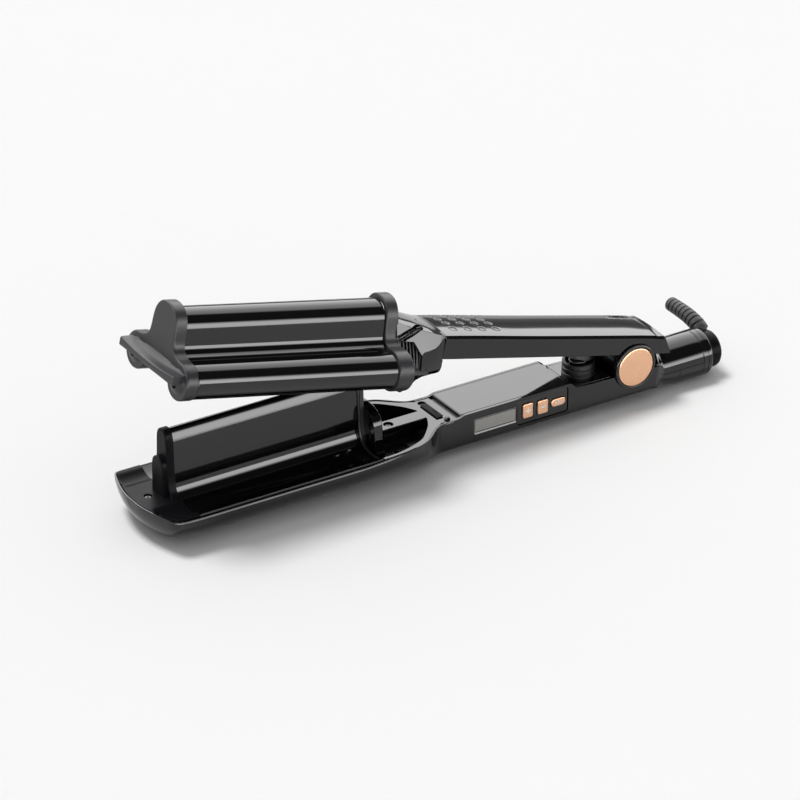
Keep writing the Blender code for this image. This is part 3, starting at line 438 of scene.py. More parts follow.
def mesh_of(name, geometry):
    mesh = bpy.data.meshes.new(name)
    vertices, faces = geometry
    mesh.from_pydata([(x * MM, y * MM, z * MM) for x, y, z in vertices], [], faces)
    bm = bmesh.new()
    bm.from_mesh(mesh)
    bmesh.ops.remove_doubles(bm, verts=bm.verts, dist=1e-6)
    bmesh.ops.recalc_face_normals(bm, faces=bm.faces)
    bm.to_mesh(mesh)
    bm.free()
    return mesh


def add_object(name, data):
    obj = bpy.data.objects.new(name, data)
    bpy.context.scene.collection.objects.link(obj)
    return obj


class Part:
    """A visible piece that is cut, joined, bevelled and then rides on its body."""

    def __init__(self, name, look, body, geometry):
        self.obj = add_object(name, mesh_of(name, geometry))
        self.look, self.body = look, body

    def _boolean(self, geometry, operation):
        tool = add_object("tool", mesh_of("tool", geometry))
        modifier = self.obj.modifiers.new("boolean", "BOOLEAN")
        modifier.operation = operation
        modifier.solver = "EXACT"
        modifier.object = tool
        self._apply()
        mesh = tool.data
        bpy.data.objects.remove(tool, do_unlink=True)
        bpy.data.meshes.remove(mesh)

    def _apply(self):
        bpy.context.view_layer.update()
        graph = bpy.context.evaluated_depsgraph_get()
        mesh = bpy.data.meshes.new_from_object(self.obj.evaluated_get(graph), depsgraph=graph)
        self.obj.modifiers.clear()
        self.obj.data = mesh

    def _edit(self, merge, last_step=None):
        """Weld near points, then run an optional last step on the bmesh."""
        bm = bmesh.new()
        bm.from_mesh(self.obj.data)
        bmesh.ops.remove_doubles(bm, verts=bm.verts, dist=merge)
        bmesh.ops.dissolve_degenerate(bm, edges=bm.edges, dist=merge)
        if last_step:
            last_step(bm)
        bm.to_mesh(self.obj.data)
        bm.free()

    def cut(self, geometry):
        self._boolean(geometry, "DIFFERENCE")

    def add(self, geometry):
        self._boolean(geometry, "UNION")

    def bevel(self, width, segments, angle):
        self._edit(merge=3e-6)
        modifier = self.obj.modifiers.new("bevel", "BEVEL")
        modifier.width = width * MM
        modifier.segments = segments
        modifier.limit_method = "ANGLE"
        modifier.angle_limit = radians(angle)
        modifier.use_clamp_overlap = True
        modifier.miter_outer = "MITER_ARC"
        self._apply()

    def done(self, replaces=None, slot=None, sharp=35.0):
        """Open the upper arm's pieces, shade, hang the part on its body and hide the CAD node it
        replaces.
        """
        def place_and_smooth(bm):
            if self.body == UPPER:
                bmesh.ops.transform(bm, matrix=OPENED, verts=bm.verts)
            for face in bm.faces:
                face.smooth = True
        self._edit(merge=2e-6, last_step=place_and_smooth)
        mesh = self.obj.data
        mesh.name = self.obj.name
        mesh.materials.clear()
        mesh.materials.append(MATERIALS[self.look])
        mesh.set_sharp_from_angle(angle=radians(sharp))
        normals = self.obj.modifiers.new("wn", "WEIGHTED_NORMAL")
        normals.keep_sharp = True
        normals.weight = 50
        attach(self.obj, self.body)
        if replaces:
            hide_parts(replaces)
        return self.obj


# ---------------------------------------------------------------- upper arm: bell and caps
# Half outlines are (y, z), from the crown outwards.

BELL = [
    (0, 54.0), (2.6, 53.62), (4.75, 52.6), (6.5, 51.15), (7.75, 49.55), (8.45, 48.1),
    (8.88, 46.6), (9.18, 45.0), (9.5, 43.1), (9.8, 41.3), (10.12, 39.4), (10.42, 37.95),
    (10.95, 36.6), (11.8, 35.45), (13.0, 34.5), (14.5, 33.85), (16.3, 33.55)]
BELL_INNER = [
    (0, 52.0), (2.6, 51.3), (4.7, 49.6), (5.8, 47.0), (6.2, 44.0), (6.6, 38.5), (7.2, 32.0),
    (8.0, 27.4), (9.4, 23.0), (11.0, 20.4)]
CAP = [
    (0, 57.0), (2.0, 56.88), (3.9, 56.45), (5.8, 55.6), (7.4, 54.4), (8.7, 52.9), (9.7, 51.0),
    (10.35, 48.8), (10.72, 46.4), (10.9, 43.6), (11.05, 41.0), (11.4, 39.0), (12.15, 37.3),
    (13.3, 35.95), (15.0, 34.9), (17.0, 34.2)]
CAP_INNER = [
    (0, 51.9), (2.7, 51.4), (4.8, 49.6), (5.9, 47.0), (6.3, 44.0), (6.7, 38.5), (7.3, 32.0),
    (8.1, 27.4), (9.5, 23.0), (11.0, 20.6)]
COLLAR = [
    (0, 56.4), (2.8, 56.0), (5.2, 55.0), (7.3, 53.2), (8.8, 51.0), (9.75, 48.6), (10.25, 46.2),
    (10.6, 44.0), (11.0, 41.6), (11.5, 39.4), (12.3, 37.4), (13.5, 36.0), (15.2, 35.1),
    (17.2, 34.8)]
COLLAR_INNER = [
    (0, 53.2), (2.6, 52.85), (4.6, 51.9), (6.2, 50.4), (7.3, 48.8), (7.95, 46.6), (8.35, 44.6),
    (8.8, 42.2), (9.4, 39.0), (10.3, 36.9), (11.8, 34.9), (13.8, 33.4), (16.3, 32.85)]


def lobe_arc(radius, *degrees):
    """Arc round the lobe axis; degrees are start, stop and step."""
    return [(LOBE_Y + radius * cos(radians(a)), LOBE_Z + radius * sin(radians(a)))
            for a in range(*degrees)]


def upper_barrel():
    outer = sym_spline(BELL, 7) + lobe_arc(9.0, 95, -142, -5)
    outline = shell_profile(outer, sym_spline(BELL_INNER, 5))
    Part("skin_upper_barrel", "titanium_coated_barrel", UPPER,
         extrude(outline, "x", -269.8, -156.2, 0.25, 0.25)).done("upper_barrel")


def front_lip_section(v):
    """Slice of the lip at the cap's front; v runs from -1 to 1 across the width."""
    bow = v * v
    edge = -283.1 + 0.45 * bow
    z_root = 31.0 - 1.0 * bow
    z_top = 28.0 + 1.3 * bow
    z_low = 25.2 - 0.45 * bow
    x_root = -276.0 + 0.6 * bow
    top = spline([(x_root, z_root + 1.6), (x_root - 0.55, z_root + 0.2),
                  (x_root - 1.7, z_top + 0.5 * (z_root - z_top)),
                  (x_root - 3.6, z_top + 0.2 * (z_root - z_top)),
                  (edge + 0.8, z_top + 0.02)], 3)
    nose = [(edge + 0.25, z_top - 0.2), (edge, z_top - 0.7), (edge, z_low + 0.8),
            (edge + 0.25, z_low + 0.25), (edge + 0.9, z_low)]
    back = [(-274.0, z_low + 1.6), (-274.0, z_root + 1.6)]
    return [(x, 25.0 * v, z) for x, z in back + top + nose + [(-277.6, z_low + 1.0)]]


def upper_front_cap():
    dome_x, dome_depth, dome_radius = -270.4, 7.9, 9.33
    outline = both(sym_spline(CAP, 6) + lobe_arc(9.35, 92, -142, -6) + [(11.2, 20.2)])
    cap = Part("skin_upper_front_cap", "satin_black_cap", UPPER,
               extrude(outline, "x", -276.4, -270.1, 1.0, 0.25, 5))
    hollow = both(sym_spline(CAP_INNER, 5) + [(11.6, 18.0)])
    cap.cut(extrude(hollow, "x", -274.3, -268.0))
    dome = [(dome_x - dome_depth, 0.01)]
    dome += [(dome_x - dome_depth * sin(radians(a)), dome_radius * cos(radians(a)) ** 0.9)
             for a in range(86, 10, -6)]
    dome.append((-271.6, dome_radius))
    for side in (1, -1):
        cap.add(turn(dome, "x", (0, side * LOBE_Y, LOBE_Z), 48))
    lip_steps = 40
    cap.add(loft([front_lip_section(-1 + 2 * i / lip_steps) for i in range(lip_steps + 1)]))
    cap.bevel(0.45, 3, 40)
    for side in (1, -1):
        cap.cut(cylinder("x", -280.5, -275.4, 2.1, (0, side * LOBE_Y, LOBE_Z - 1.3), 32))
    cap.done("upper_front_cap", sharp=38)


def upper_rear_collar():
    """Arched collar behind the bell; its back face leans forward towards the top."""
    outer = sym_spline(COLLAR, 6) + lobe_arc(10.3, 92, -100, -6)
    inner = sym_spline(COLLAR_INNER, 6) + lobe_arc(8.3, 92, -100, -6)
    vertices, faces = extrude(shell_profile(outer, inner), "x", -155.9, -147.0, 0.7, 0.85, 5)
    vertices = [(x - (1.9 * clamp((z - 27.0) / 22.0) if x > -151.0 else 0.0), y, z)
                for x, y, z in vertices]
    Part("skin_upper_rear_collar", "satin_black_cap", UPPER,
         (vertices, faces)).done("upper_rear_collar")


# ---------------------------------------------------------------- upper arm: neck
# x, then y, z of: ridge, crown edge, shoulder, facet foot, side top, side foot, belly, keel.
NECK = [
    (-149.6, 0, 47.3, 5.8, 47.05, 10.0, 45.8, 17.2, 26.6,
     20.9, 22.5, 24.6, 20.7, 23.6, 14.3, 13.0, 17.7),
    (-146.7, 0, 46.5, 6.0, 46.25, 10.4, 44.9, 17.0, 27.0,
     20.2, 22.6, 23.6, 20.7, 22.6, 14.9, 13.0, 17.7),
    (-142.4, 0, 45.25, 6.4, 45.0, 11.0, 43.5, 16.7, 27.6,
     19.0, 22.8, 22.0, 20.7, 20.6, 16.3, 12.0, 17.7),
    (-137.0, 0, 43.75, 6.9, 43.5, 11.6, 41.8, 16.15, 28.7,
     17.4, 24.4, 19.0, 20.75, 17.9, 18.0, 10.0, 17.7),
    (-132.0, 0, 42.25, 7.4, 42.0, 12.0, 40.7, 15.8, 28.9,
     16.2, 25.6, 16.9, 20.8, 15.3, 18.1, 9.0, 17.7),
    (-128.0, 0, 41.05, 7.8, 40.85, 12.4, 39.9, 15.3, 30.2,
     15.6, 26.6, 15.9, 20.9, 14.0, 18.2, 8.5, 17.7),
    (-124.6, 0, 40.05, 8.0, 39.85, 12.85, 39.1, 14.7, 33.6,
     15.05, 27.6, 15.2, 21.2, 13.1, 18.3, 8.0, 17.7),
    (-122.8, 0, 39.65, 8.0, 39.5, 13.1, 38.75, 13.95, 36.8,
     14.75, 28.6, 14.8, 21.6, 12.8, 18.4, 8.0, 17.7),
    (-121.3, 0, 39.45, 8.0, 39.3, 13.3, 38.5, 13.7, 37.6,
     14.5, 29.4, 14.5, 22.2, 12.6, 18.6, 8.0, 17.7),
]


def neck_corners(x):
    values = station(NECK, x)
    return list(zip(values[::2], values[1::2]))


def neck_outline(x):
    ridge, crown, shoulder, facet, side, foot, belly, keel = neck_corners(x)
    top = [ridge]
    top += [(crown[0] * out, ridge[1] + (crown[1] - ridge[1]) * fall)
            for out, fall in ((0.35, 0.15), (0.7, 0.5))]
    top += [mix(crown, shoulder, t) for t in (0.0, 0.35, 0.7, 1.0)]
    top += [mix(shoulder, facet, t) for t in (0.03, 0.3, 0.5, 0.7, 0.95)]
    flank = spline([side, ((side[0] + foot[0]) / 2 + 0.05, (side[1] + foot[1]) / 2), foot], 3)
    under = spline([foot, (belly[0] + 0.9, belly[1] + 0.75), belly,
                    ((belly[0] + keel[0]) / 2, belly[1] - 0.4), keel], 3)
    return both(top + flank + under[1:])


def crown_slot(side):
    """Round-ended slot running along the crown on one side."""
    start, end, radius = Vector((-149.6, -14.6, 37.9)), Vector((-135.0, -9.4, 42.1)), 2.1
    along = end - start
    length = along.length
    along.normalize()
    across = along.cross(Vector((0, -0.6, 0.8))).normalized()
    deep = along.cross(across).normalized()
    stations = [(0.0, radius), (length * 0.5, radius)]
    stations += [(length + radius * sin(radians(a)), radius * cos(radians(a)))
                 for a in (0, 18, 36, 54, 70, 82)]
    sections = []
    for run, r in stations:
        center = start + along * run
        ring = []
        for i in range(28):
            a = 2 * pi * i / 28
            p = center + across * r * cos(a) + deep * r * 1.25 * sin(a)
            ring.append((p.x, p.y * -side, p.z))
        sections.append(ring)
    return loft(sections)


def upper_neck():
    """Glossy neck with a large facet on each side."""
    front, back, steps = NECK[0][0], NECK[-1][0], 30
    xs = [front + (back - front) * k / steps for k in range(steps + 1)]
    neck = Part("skin_upper_neck", "gloss_black_shell", UPPER,
                loft([at_x(x, neck_outline(x)) for x in xs]))
    # plug into the handle: x, half width, bottom z
    plug = []
    for x, half, low in ((-122.4, 12.3, 17.8), (-119.4, 12.0, 17.8), (-118.3, 11.3, 19.5)):
        plug.append(at_x(x, [(-half, 24.7), (half, 24.7), (half, low + 1.2), (half - 1.5, low),
                             (1.5 - half, low), (-half, low + 1.2)]))
    neck.add(loft(plug))
    # open side behind the collar: the facet ends on a slanted edge
    opening = [(-152.0, 36.6), (-143.4, 36.6), (-139.6, 36.2), (-134.5, 29.3),
               (-134.8, 20.9), (-152.0, 20.9)]
    for side in (1, -1):
        neck.cut(extrude(opening, "y", *span(side, 8.2, 34.0)))
        neck.cut(crown_slot(side))
        # parting line all along the flank
        neck.cut(box(-148.0, -119.0, *span(side, 11.6, 30.0), 20.45, 20.95))
    neck.bevel(0.05, 1, 34)
    neck.done("upper_neck", sharp=40)


def core_outline(x, ridge_drop, shoulder_in, shoulder_drop, facet_in, side_in, foot_in, low):
    """Neck outline moved inwards corner by corner, with a flat bottom at z = low."""
    ridge, _, shoulder, facet, side, foot, _, _ = neck_corners(x)
    return both([(0, ridge[1] - ridge_drop),
                 (shoulder[0] - shoulder_in, shoulder[1] - shoulder_drop),
                 (facet[0] - facet_in, facet[1]), (side[0] - side_in, side[1]),
                 (foot[0] - foot_in, low), (6.0, low)])


def neck_core():
    """Ribbed black core inside the neck."""
    first_rib, pitch = -146.6, 1.9
    spine = core_outline(first_rib, ridge_drop=4.2, shoulder_in=3.6, shoulder_drop=4.2,
                         facet_in=3.2, side_in=3.4, foot_in=4.2, low=20.9)
    core = Part("skin_neck_core", "inner_black", UPPER, extrude(spine, "x", -146.7, -131.0))
    for i in range(7):
        x = first_rib + pitch * i
        rib = core_outline(x, ridge_drop=3.2, shoulder_in=2.2, shoulder_drop=3.0,
                           facet_in=1.5, side_in=1.5, foot_in=2.2, low=21.2)
        core.add(extrude(rib, "x", x, x + 0.75, 0.12, 0.12, 2))
    core.done()


# ---------------------------------------------------------------- upper arm: handle
# x, top z, bottom z
HANDLE = [(-121.0, 38.95, 26.5), (-112.0, 38.65, 26.4), (-60.0, 36.25, 25.0),
          (-11.0, 34.4, 23.6), (2.0, 33.9, 23.5), (16.4, 33.1, 23.3)]
HANDLE_HALF, CROWN_HALF = 14.5, 13.25
HANDLE_FRONT, HANDLE_BACK = HANDLE[0][0], HANDLE[-1][0]
# grip dimples: rows at (y, first x), four to a row
DIMPLES = [(first + 8.75 * k, y)
           for y, first in ((11.2, -114.9), (5.9, -113.4), (0.4, -112.3), (-6.0, -112.0))
           for k in range(4)]


def crown_depth(x, y):
    """How far the grip dimples and the finger recess sink the crown."""
    depth = 0.0
    for dimple_x, dimple_y in DIMPLES:
        r = hypot(x - dimple_x, y - dimple_y) / 2.25
        if r < 1:
            depth += 0.5 * min(1.0, 1.9 * (1 - r * r))
    q = ((x - 2.5) / 8.5) ** 2 + ((y - 9.2) / 2.4) ** 2
    if q < 1:
        depth += 1.3 * (1 - q) ** 0.6
    return depth


def handle_outline(x, inset=0.0):
    top, low = station(HANDLE, x)
    middle = (top + low) / 2
    loop = []
    for i in range(71):
        y = CROWN_HALF * (-1 + 2 * i / 70)
        loop.append((y, top + 0.5 - 0.95 * (y / CROWN_HALF) ** 2 - crown_depth(x, y)))
    side = [(HANDLE_HALF, top - 1.72), (HANDLE_HALF, top - 1.95), (HANDLE_HALF, middle),
            (HANDLE_HALF, low + 0.2), (HANDLE_HALF - 0.2, low)]
    loop += side + [(-y, z) for y, z in reversed(side)]
    if inset:
        loop = [(y - copysign(min(inset, abs(y)), y), z - copysign(inset, z - middle))
                for y, z in loop]
    return loop


def cavity_outline(top, low):
    return both([(0, top - 1.4), (9.5, top - 1.6), (11.8, top - 2.2), (12.8, top - 4.0),
                 (12.8, low - 3.0)])


def back_x(z):
    """Slanted back end of the handle."""
    return 15.4 + 6.2 * (33.0 - z) / 10.1


def upper_handle():
    # fine stations over the dimples and the recess, coarse ones between
    xs = [-120.8, -119.5] + [-118.5 + 0.36 * i for i in range(98)]
    xs += [-82.0 + 6.4 * i for i in range(12)] + [-7.5 + 0.5 * i for i in range(37)]
    sections = [at_x(HANDLE_FRONT, handle_outline(HANDLE_FRONT, inset=0.2))]
    sections += [at_x(x, handle_outline(x)) for x in xs]
    end = handle_outline(HANDLE_BACK)
    sections.append([(11.3 + 0.2 * (back_x(z) - 11.3), y, z) for y, z in end])
    sections.append([(back_x(z), y, z) for y, z in end])
    sections.append([(back_x(z) + 0.3, y, z) for y, z in handle_outline(HANDLE_BACK, 0.3)])
    shell = Part("skin_upper_handle", "gloss_black_shell", UPPER, loft(sections))
    cavity = [at_x(x, cavity_outline(*station(HANDLE, x)))
              for x in (-122.0, -112.0, -86.0, -60.0, -36.0, -11.0, 2.0)]
    cavity.append([(18.2 - 0.35 * max(0.0, z - 23.0), y, z)
                   for y, z in cavity_outline(33.0, 22.8)])
    shell.cut(loft(cavity))
    for side in (1, -1):
        shell.cut(cylinder("y", *span(side, 11.0, 16.0), 12.5, HINGE, 96))
    shell.done("upper_handle_shell", sharp=24)


# ---------------------------------------------------------------- lower arm: hull
# x, half width, rim z, bottom z, share of boxy section, share of round tail section
# (the rest of the section is a bowl)
HULL = [
    (NOSE_X, 5.0, 17.3, 12.6, 0, 0), (-282.4, 9.8, 17.3, 10.2, 0, 0),
    (-281.4, 14.2, 17.3, 7.9, 0, 0), (-279.9, 19.6, 17.3, 5.5, 0, 0),
    (-278.3, 24.2, 17.3, 3.6, 0, 0), (-277.0, 27.4, 17.3, 2.4, 0, 0),
    (-275.5, 29.5, 17.3, 1.3, 0, 0), (-272.4, 30.4, 17.3, -0.1, 0, 0),
    (-266.0, 30.4, 17.3, -1.4, 0, 0), (-256.0, 30.4, 17.3, -2.2, 0, 0),
    (-238.0, 30.4, 17.3, -2.6, 0, 0), (-205.0, 30.4, 17.3, -2.4, 0, 0),
    (-158.0, 30.4, 17.3, -2.0, 0, 0), (-148.0, 29.9, 17.3, -1.7, 0.05, 0),
    (-137.4, 28.0, 17.3, -1.2, 0.2, 0), (-129.9, 25.0, 17.2, -0.7, 0.4, 0),
    (-124.5, 20.6, 17.1, -0.3, 0.7, 0), (-120.5, 17.2, 17.0, 0, 0.9, 0),
    (-115.5, 14.9, 16.9, 0, 1, 0), (-105.7, 14.5, 17.1, 0, 1, 0),
    (-101.6, 14.5, 18.2, 0, 1, 0), (-39.6, 14.5, 18.2, 0, 1, 0),
    (-34.6, 14.5, 14.7, 0, 1, 0), (-12.5, 14.5, 14.0, 0, 1, 0),
    (8.5, 14.5, 13.0, 0, 1, 0), (13.4, 14.5, 12.9, -0.4, 1, 0),
    (15.4, 14.3, 12.3, -1.2, 0.85, 0.15), (17.2, 13.6, 9.4, -2.2, 0.6, 0.4),
    (19.0, 12.9, 6.2, -3.2, 0.3, 0.7), (20.5, 12.5, 5.55, -3.9, 0.1, 0.9),
    (26.0, 12.4, 5.5, -5.6, 0, 1), (34.0, 12.4, 5.5, -6.9, 0, 1),
    (45.5, 12.4, 5.5, -6.9, 0, 1),
]
# x, how far the rim sinks below the HULL value
RIM_DROP = [
    (NOSE_X, 0.5), (-277.0, 0.9), (-268.0, 1.7), (-258.0, 1.9), (-174.0, 1.9), (-160.0, 1.3),
    (-148.0, 0.6), (-132.0, 0.15), (-122.0, 0.0), (-118.0, 0.0)]


def hull_at(x):
    half_width, rim, low, boxy, tail = station(HULL, x)
    return half_width, rim - station(RIM_DROP, x)[0], low, boxy, tail


def width_change(x, reach):
    return hull_at(x + reach)[0] - hull_at(x - reach)[0]


def half_section(half_width, rim, low, boxy, tail, count=22, corner=2.6):
    """Rim to keel: a blend of a bowl, a round-cornered box and a round tail."""
    out, last = [], count - 1
    tail_top = min(rim, TAIL_Z)
    bowl = max(0.0, 1 - boxy - tail)
    for i in range(count):
        u = i / last
        a = u * radians(84)
        power = 2 / 2.15
        bowl_point = (half_width * abs(cos(a)) ** power,
                      rim - (rim - low) * abs(sin(a)) ** power)
        if u < 0.5:
            box_point = (half_width, rim + (low + corner - rim) * (u / 0.5))
        else:
            b = (u - 0.5) / 0.5 * pi / 2
            box_point = (half_width - corner + corner * cos(b), low + corner - corner * sin(b))
        a = u * radians(82)
        tail_point = (half_width * cos(a), tail_top - (tail_top - low) * sin(a))
        if i == 0:
            tail_point = (half_width, rim)
        if i == last:
            bowl_point = (bowl_point[0], low)
            tail_point = (tail_point[0], low)
        out.append(tuple(bowl * p + boxy * q + tail * r
                         for p, q, r in zip(bowl_point, box_point, tail_point)))
    return out


def hull_stations():
    ends = [row[0] for row in HULL]
    xs = []
    for a, b in zip(ends[:-1], ends[1:]):
        # finer over the nose and over the slope behind the handle cover
        steps = 4 if b < -255 else 6 if a == -39.6 else 3
        xs += [a + (b - a) * i / steps for i in range(steps)]
    return xs + [ends[-1]]


HULL_XS = hull_stations()


def rim_points(inset, x_end=-114.0):
    """Plan (x, y) of the rim moved inwards."""
    out = []
    for x in [v for v in HULL_XS if v < x_end]:
        slope = width_change(x, 0.15) / (0.3 if x > -282.8 else 0.15)
        length = hypot(1, slope)
        p = (x + inset * slope / length, hull_at(x)[0] - inset / length)
        if not out or p[0] > out[-1][0] + 0.02:
            out.append(p)
    return out


def hull_cavity():
    sections = []
    for x in [v for v in HULL_XS if v < 45.4]:
        half_width, rim, low, boxy, tail = hull_at(x)
        inner_x, inner_half = x, half_width - 1.5
        if x < -160:
            slope = width_change(x, 0.2) / 0.4
            length = hypot(1, slope)
            inner_x, inner_half = x + 1.4 * slope / length, max(half_width - 1.4 / length, 1.0)
        inner_low = min(low + 1.3, 14.6) if x < -268 else low + 1.9
        half = half_section(inner_half, rim, inner_low, boxy, tail, count=12, corner=1.6)
        loop = at_x(inner_x, [(half[0][0], rim + 6)] + half)
        sections.append(loop + [(x_, -y, z) for x_, y, z in reversed(loop)])
    sections = [s for i, s in enumerate(sections)
                if i == 0 or s[0][0] > sections[i - 1][0][0] + 1e-4]
    sections.append([(46.5, y, z) for _, y, z in sections[-1]])
    return loft(sections)


def lower_hull():
    sections = []
    for x in HULL_XS:
        half = half_section(*hull_at(x))
        sections.append(at_x(x, half + [(-y, z) for y, z in reversed(half)]))
    hull = Part("skin_lower_shell", "gloss_black_shell", LOWER, loft(sections))
    hull.cut(hull_cavity())
    # open top
    edge = [(NOSE_X + 0.65, 0.0)] + rim_points(0.65) + [(-114.0, 13.9)]
    hull.cut(extrude(plan(edge), "z", 13.4, 24.0))
    # hinge cheeks and discs
    cheek = [(-10.6, 3.0), (10.6, 3.0), (10.2, 15.1), (-10.2, 15.1)]
    for side in (1, -1):
        hull.add(extrude(cheek, "y", *span(side, 11.8, 13.9)))
        hull.add(cylinder("y", *span(side, 11.5, 14.57), 12.0, HINGE, 96))
    hull.cut(cylinder("y", -16, 16, 3.25, HINGE, 32))
    # pockets for the display and the control panel
    hull.cut(extrude(round_rect(*LCD, 12.85, 4.1, 0.8), "y", -16, -11.5))
    hull.cut(extrude(round_rect(*PANEL, 15.25, 6.9, 1.5), "y", -16, -11.5))
    # parting line of the tail and an upright joint at each end of it
    for side in (1, -1):
        flank = span(side, 11.4, 14.2)
        hull.cut(box(19.4, 30.6, *flank, 0.9, 1.15))
        hull.cut(box(30.35, 30.6, *flank, 0.9, 5.6))
        hull.cut(box(19.4, 19.65, *flank, 0.9, 5.6))
    hull.bevel(0.22, 2, 40)
    hull.done("lower_housing", sharp=32)


def housing_lips():
    """Thin lip along the rim, one strip per side."""
    # inward distance from the rim line, height above it
    bead = ((-0.4, -0.7), (0.40, -0.7), (0.43, -0.64), (0.22, 0.09), (0.16, 0.11),
            (-0.36, 0.11), (-0.4, 0.06))
    edge = [p for p in rim_points(0.34, -108.0) if p[1] > 1.5]
    rim = resample([(NOSE_X + 0.34, 0.0)] + edge, 1.2)
    for tag, side in (("near", -1), ("far", 1)):
        sections = []
        for i, (x, y) in enumerate(rim):
            x0, y0 = rim[max(i - 1, 0)]
            x1, y1 = rim[min(i + 1, len(rim) - 1)]
            length = hypot(x1 - x0, y1 - y0)
            nx, ny = (y1 - y0) / length, -(x1 - x0) / length
            z = hull_at(x)[1] + 0.03
            sections.append([(x - nx * d, side * (y - ny * d), z + h) for d, h in bead])
        Part("housing_lip_" + tag, "gloss_black_shell", LOWER, loft(sections)).done(sharp=20)


# ---------------------------------------------------------------- lower arm: barrel and caps
# Half outlines (y, z) from the crown outwards.
RIDGE = sym_spline([
    (0, 50.3), (1.2, 50.05), (2.1, 49.3), (2.75, 48.0), (3.2, 46.5), (3.6, 45.0), (3.96, 43.5),
    (4.2, 41.9), (4.32, 40.0), (4.4, 37.5), (4.6, 33.5), (4.85, 29.5), (5.1, 25.8),
    (5.42, 22.7), (5.95, 20.2), (6.8, 18.0), (8.1, 16.1), (10.0, 14.65), (12.7, 13.7),
    (16.0, 13.3), (19.2, 13.35), (23.0, 14.0), (26.4, 15.25), (28.85, 16.5)], 6)
RIDGE_INNER = sym_spline([
    (0, 49.0), (1.6, 48.4), (2.5, 46.5), (2.75, 44.0), (2.9, 38.5), (3.3, 33.0), (3.7, 27.0),
    (4.2, 22.3), (5.6, 17.6), (8.0, 14.6), (12.0, 12.7), (16.0, 12.2), (20.0, 12.2),
    (23.4, 12.8), (26.7, 14.0), (28.7, 15.3)], 3)
RIDGE_END = sym_spline([
    (0, 51.0), (1.6, 50.75), (2.8, 50.1), (3.8, 49.0), (4.4, 47.4), (4.75, 45.0), (4.9, 42.0),
    (5.1, 37.0), (5.35, 31.5), (5.7, 26.5), (6.4, 22.5), (7.6, 19.4), (9.2, 17.3),
    (10.6, 16.2)], 5)
# pad on the ridge end, from its foot up to the crown
RIDGE_PAD = [(5.5, 16.2), (5.3, 22.0), (5.2, 30.0), (5.0, 32.4), (4.3, 34.5), (3.0, 35.9),
             (1.5, 36.5), (0.0, 36.7)]
ARCH = [(0, 34.4), (3.6, 34.3), (7.0, 33.9), (9.9, 32.9), (12.3, 31.1), (13.9, 28.8),
        (14.8, 26.0), (15.3, 22.0), (16.2, 16.8), (17.4, 12.6), (17.6, 9.0)]
ARCH_HOLLOW = [(0, 32.6), (3.4, 32.5), (6.6, 32.1), (9.2, 31.2), (11.4, 29.6), (12.7, 27.4),
               (13.4, 25.0), (13.9, 21.6), (14.6, 17.2), (13.6, 15.2)]
DECK_Z = 16.9
NOSE_SCREW = (-274.2, 0, 0)


def lower_plate():
    Part("skin_lower_plate", "titanium_coated_barrel", LOWER,
         extrude(shell_profile(RIDGE, RIDGE_INNER), "x", *PLATE_X, 0.2, 0.2)
         ).done("lower_barrel_plate")


def tray_edges():
    outline = ((28.3, 15.5), (28.98, 15.5), (29.0, 15.95), (28.8, 16.64), (28.74, 16.66),
               (28.3, 16.66))
    for tag, side in (("near", -1), ("far", 1)):
        Part("tray_edge_" + tag, "gloss_black_shell", LOWER,
             extrude([(side * y, z) for y, z in outline], "x", *PLATE_X)).done(sharp=20)


def deck_z(x, y):
    """Nose deck height: flat, sinking smoothly into a dish under each lobe."""
    dish_radius, softness = 9.95, 0.3
    u = (abs(y) - LOBE_Y) / dish_radius
    dish_z = LOBE_Z - dish_radius * sqrt(max(0.0, 1 - u * u))
    share = clamp((x + 279.6) / 3.0)
    share = share * share * (3 - 2 * share)
    depth = softness * log(1 + exp(min((DECK_Z - dish_z) / softness, 60.0)))
    return DECK_Z - depth * share


def lower_front_cap():
    """Deck with two dishes, the ridge's front end and its pad."""
    edge = [p for p in rim_points(1.2, -262.4) if p[1] > 0.6] + [(-262.32, 29.2)]
    front, back = edge[0][0], edge[-1][0]
    sections = []
    for i in range(35):
        x = front + (back - front) * (i / 34) ** 1.35
        half = station(edge, x)[0]
        deck_half = max(half - 0.35, 0.3)
        deck_ys = [deck_half * (-1 + 2 * j / 80) for j in range(81)]
        edge_z = deck_z(x, half) - 0.35
        top = [(-half, edge_z)] + [(y, deck_z(x, y)) for y in deck_ys] + [(half, edge_z)]
        if x < -276.6:
            foot_z, foot = 15.5, half - 0.3
        else:
            foot_z, foot = 13.0, min(half - 0.3, 27.6)
        sections.append(at_x(x, top + [(half, 15.6), (foot, foot_z), (-foot, foot_z),
                                       (-half, 15.6)]))
    nose = Part("skin_lower_front_cap", "satin_black_lower", LOWER, loft(sections))
    nose.add(extrude(both(RIDGE_END), "x", -266.3, -262.32, 0.9, 0.0, 5))
    pad = spline(RIDGE_PAD, 4, corners=(2,))[::-1]
    nose.add(extrude(both(pad), "x", -268.9, -264.6, 0.7, 0.0, 4))
    nose.cut(cylinder("z", 15.9, 18, 2.1, NOSE_SCREW, 32))
    nose.done("lower_front_cap", sharp=36)


def nose_screw():
    profile = [(15.6, 1.6), (16.05, 1.6), (16.2, 1.4), (16.2, 0.7), (15.9, 0.6)]
    Part("nose_screw", "screw_black_zinc", LOWER,
         turn(profile, "z", NOSE_SCREW, 24)).done(slot="steel")


